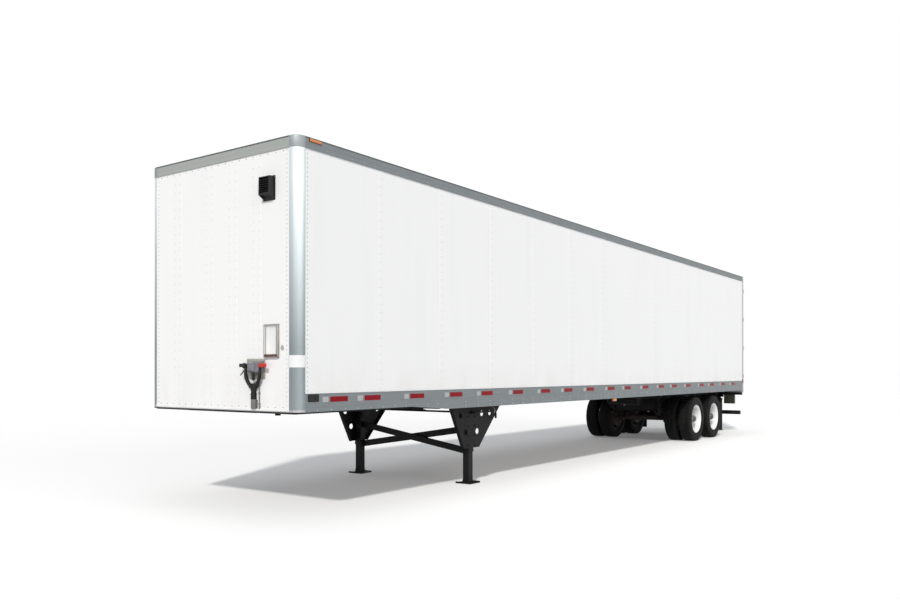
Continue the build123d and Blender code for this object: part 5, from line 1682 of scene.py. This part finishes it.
def rear_frame_details():
    """Softened frame and guard, ledges, the channels below the sill, pin heads and strips."""
    y = REAR_FACE
    case = remade("rear_frame", 0.004, 2)
    place(case, STAINLESS, "bare_metal", replaces=["rear_frame"])
    ledge = block("ledge", (-1.29, y - 0.030, 1.0405), (1.29, y + 0.0022, 1.062), 0.0015)
    drip = block("drip", (-1.27, y - 0.01, 4.100), (1.27, y + 0.012, 4.106), 0.0015)
    place(joined("frame_ledges", [ledge, drip]), STAINLESS, "bare_metal")
    lip = block("sill_channel", (-1.283, y - 0.120, 0.978), (1.283, y - 0.052, 1.044), 0.005, 2)
    place(lip, BLACK, "black_steel")
    beam = block("guard_bolster", (-0.790, y - 0.170, 0.918), (0.790, y - 0.056, 1.046))
    edit(beam, lambda middle, normal: abs(normal.y) > 0.9)
    inset(0.009)
    bpy.ops.mesh.extrude_region_shrink_fatten(TRANSFORM_OT_shrink_fatten={"value": -0.046})
    done()
    place(rounded(beam, 0.003, 2), BLACK, "black_steel")
    heads = []
    for z in HINGES_Z:
        for dz in (-0.0395, 0.0395):
            end = 0.010 if dz > 0 else -0.010
            heads.append(bar_z("pin", PIN_X, PIN_Y, z + dz - end * 0.1, z + dz + end, 0.011, 20, 0.002, 2))
    place(both_sides(joined("hinge_pin_heads", heads)), BOLT, "zinc")
    corners = [rear_strip("upright", (1.241, 3.690), (1.291, 3.990)),
               rear_strip("across", (0.985, 3.999), (1.241, 4.049))]
    place(both_sides(joined("corner_strips", corners)), WHITE_TAPE, "bare_metal")
    silver = rear_strip("silver", (0.04, 1.075), (0.218, 1.125))
    red = rear_strip("red", (0.222, 1.075), (0.501, 1.125))
    place(both_sides(row(silver, 2, (0.465, 0, 0))), WHITE_TAPE, "bare_metal")
    place(both_sides(row(red, 2, (0.465, 0, 0))), RED_TAPE, "bare_metal")
    guard_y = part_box("underride_guard")[1][1]
    guard = remade("underride_guard", 0.006, 3)
    place(guard, BLACK, "black_steel", replaces=["underride_guard"])
    caps = block("caps", (1.2195, guard_y - 0.096, 0.464), (1.2225, guard_y - 0.004, 0.556), 0.001)
    bolts = [
        hex_bolt("bolt", (x, guard_y, z), (0, 1, 0), 0.011, 0.009)
        for x in (0.635, 0.685) for z in (0.985, 1.02)
    ]
    place(both_sides(joined("guard_caps", [caps, *bolts])), BLACK, "black_steel")


def lamps():
    """Round tail lamps in rubber grommets, header lamps, and the side markers with their bases."""
    y, z = REAR_FACE, 0.890
    boxes = remade("lamp_boxes", 0.005, 2)
    place(boxes, BOX_OLIVE, "black_steel", replaces=["lamp_boxes"])
    lenses, rings = [], []
    for x in (0.8728, 1.0072):
        lenses.append(bar_y("lens", x, y, y + 0.0125, z, 0.0505, 48, 0.005, 3))
        rings.append(bar_y("ring", x, y - 0.001, y + 0.007, z, 0.0600, 48, 0.003, 2))
    for x in (0.150, 1.150, 0.0):
        lenses.append(block("lens", (x - 0.050, y, 4.067), (x + 0.050, y + 0.0122, 4.095), 0.006, 3))
        rings.append(block("ring", (x - 0.056, y - 0.001, 4.061), (x + 0.056, y + 0.004, 4.101), 0.0015))
    # the last of each is the middle header lamp, which has no twin
    red = joined("tail_lamps", [both_sides(joined("pair", lenses[:-1])), lenses[-1]])
    place(red, RED_LENS, "lamp_red", replaces=["rear_lamps"])
    place(joined("lamp_grommets", [both_sides(joined("pair", rings[:-1])), rings[-1]]), SEAL, "hose_rubber")

    top = block("top", (HALF, station(0.183), 4.070), (HALF + 0.011, station(0.360), 4.103), 0.0055, 3)
    under = block("under", (HALF - 0.035, station(7.952), 1.0475), (HALF - 0.0005, station(8.078), 1.0970),
                  0.005, 3)
    place(both_sides(joined("amber_markers", [top, under])), AMBER_LENS, "lamp_amber",
          replaces=["marker_lamps"])
    base = block("base", (HALF - 0.0005, station(0.176), 4.065), (HALF + 0.004, station(0.367), 4.108),
                 0.0012)
    low_base = block("low", (HALF - 0.0005, station(0.160), 1.262), (HALF + 0.008, station(0.322), 1.346),
                     0.003, 2)
    tail_base = block("tail", (HALF - 0.0005, station(16.070), 1.296),
                      (HALF + 0.005, station(16.138), 1.404), 0.002, 2)
    place(both_sides(joined("marker_bases", [base, low_base, tail_base])), BLACK_PLASTIC, "black_plastic")
    cells = [block("cell", (HALF + 0.004, station(a), 1.270), (HALF + 0.0115, station(a + 0.070), 1.338),
                   0.004, 3)
             for a in (0.167, 0.245)]
    place(both_sides(joined("dark_markers", cells)), DARK_LENS, "lamp_amber", replaces=["marker_lamps"])
    tail = block("tail", (HALF + 0.003, station(16.076), 1.302), (HALF + 0.0118, station(16.132), 1.398),
                 0.005, 3)
    place(both_sides(tail), RED_LENS, "lamp_red", replaces=["marker_lamps"])


def load_space():
    """Scuff bands along the walls, roof bows and the ribbed threshold plate."""
    inner = HALF - 0.036
    end = REAR_FRAME_Y - 0.004
    band = block("band", (inner - 0.0035, station(0.20), 1.2402), (inner + 0.001, end, 1.545), 0.001)
    bead = row(block("bead", (inner - 0.0065, station(0.20), 1.285), (inner - 0.002, end, 1.300), 0.001), 4,
               (0, 0, 0.066))
    place(both_sides(joined("scuff_bands", [band, bead])), GALVANISED, "bare_metal")
    bow = block("bow", (-1.225, station(0.62), 4.086), (1.225, station(0.655), 4.1115))
    edit(bow, facing("z", -1))
    stretch((1, 0.6, 1), (0, station(0.6375), 4.086))
    done()
    place(row(rounded(bow, 0.0015, 1), 26, (0, 0.61, 0)), GALVANISED, "bare_metal")
    sill = block("threshold", (-1.2150, REAR_FACE - 0.145, 1.2395), (1.2150, REAR_FACE - 0.0485, 1.2425),
                 0.001)
    treads = row(block("tread", (-1.19, REAR_FACE - 0.140, 1.242), (-1.17, REAR_FACE - 0.055, 1.2438),
                       0.0006), 60, (0.04, 0, 0))
    place(joined("threshold", [sill, treads]), STAINLESS, "bare_metal")


def coupler_details():
    """Grease plugs round the kingpin, and a strip along the plate's front edge."""
    front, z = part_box("upper_coupler")[0][1], 1.131
    heads = [
        dome("plug", (x, station(KINGPIN) + dy, z), (0, 0, -1), 0.016, 0.003, 16)
        for x in (-0.22, 0.22) for dy in (-0.18, 0.18)
    ]
    edge = [block("edge", (-0.60, front + 0.02, z - 0.002), (0.60, front + 0.045, z + 0.002), 0.0008)]
    place(joined("coupler_details", heads + edge), BLACK, "black_steel")


door_details()
rear_frame_details()
lamps()
load_space()
coupler_details()
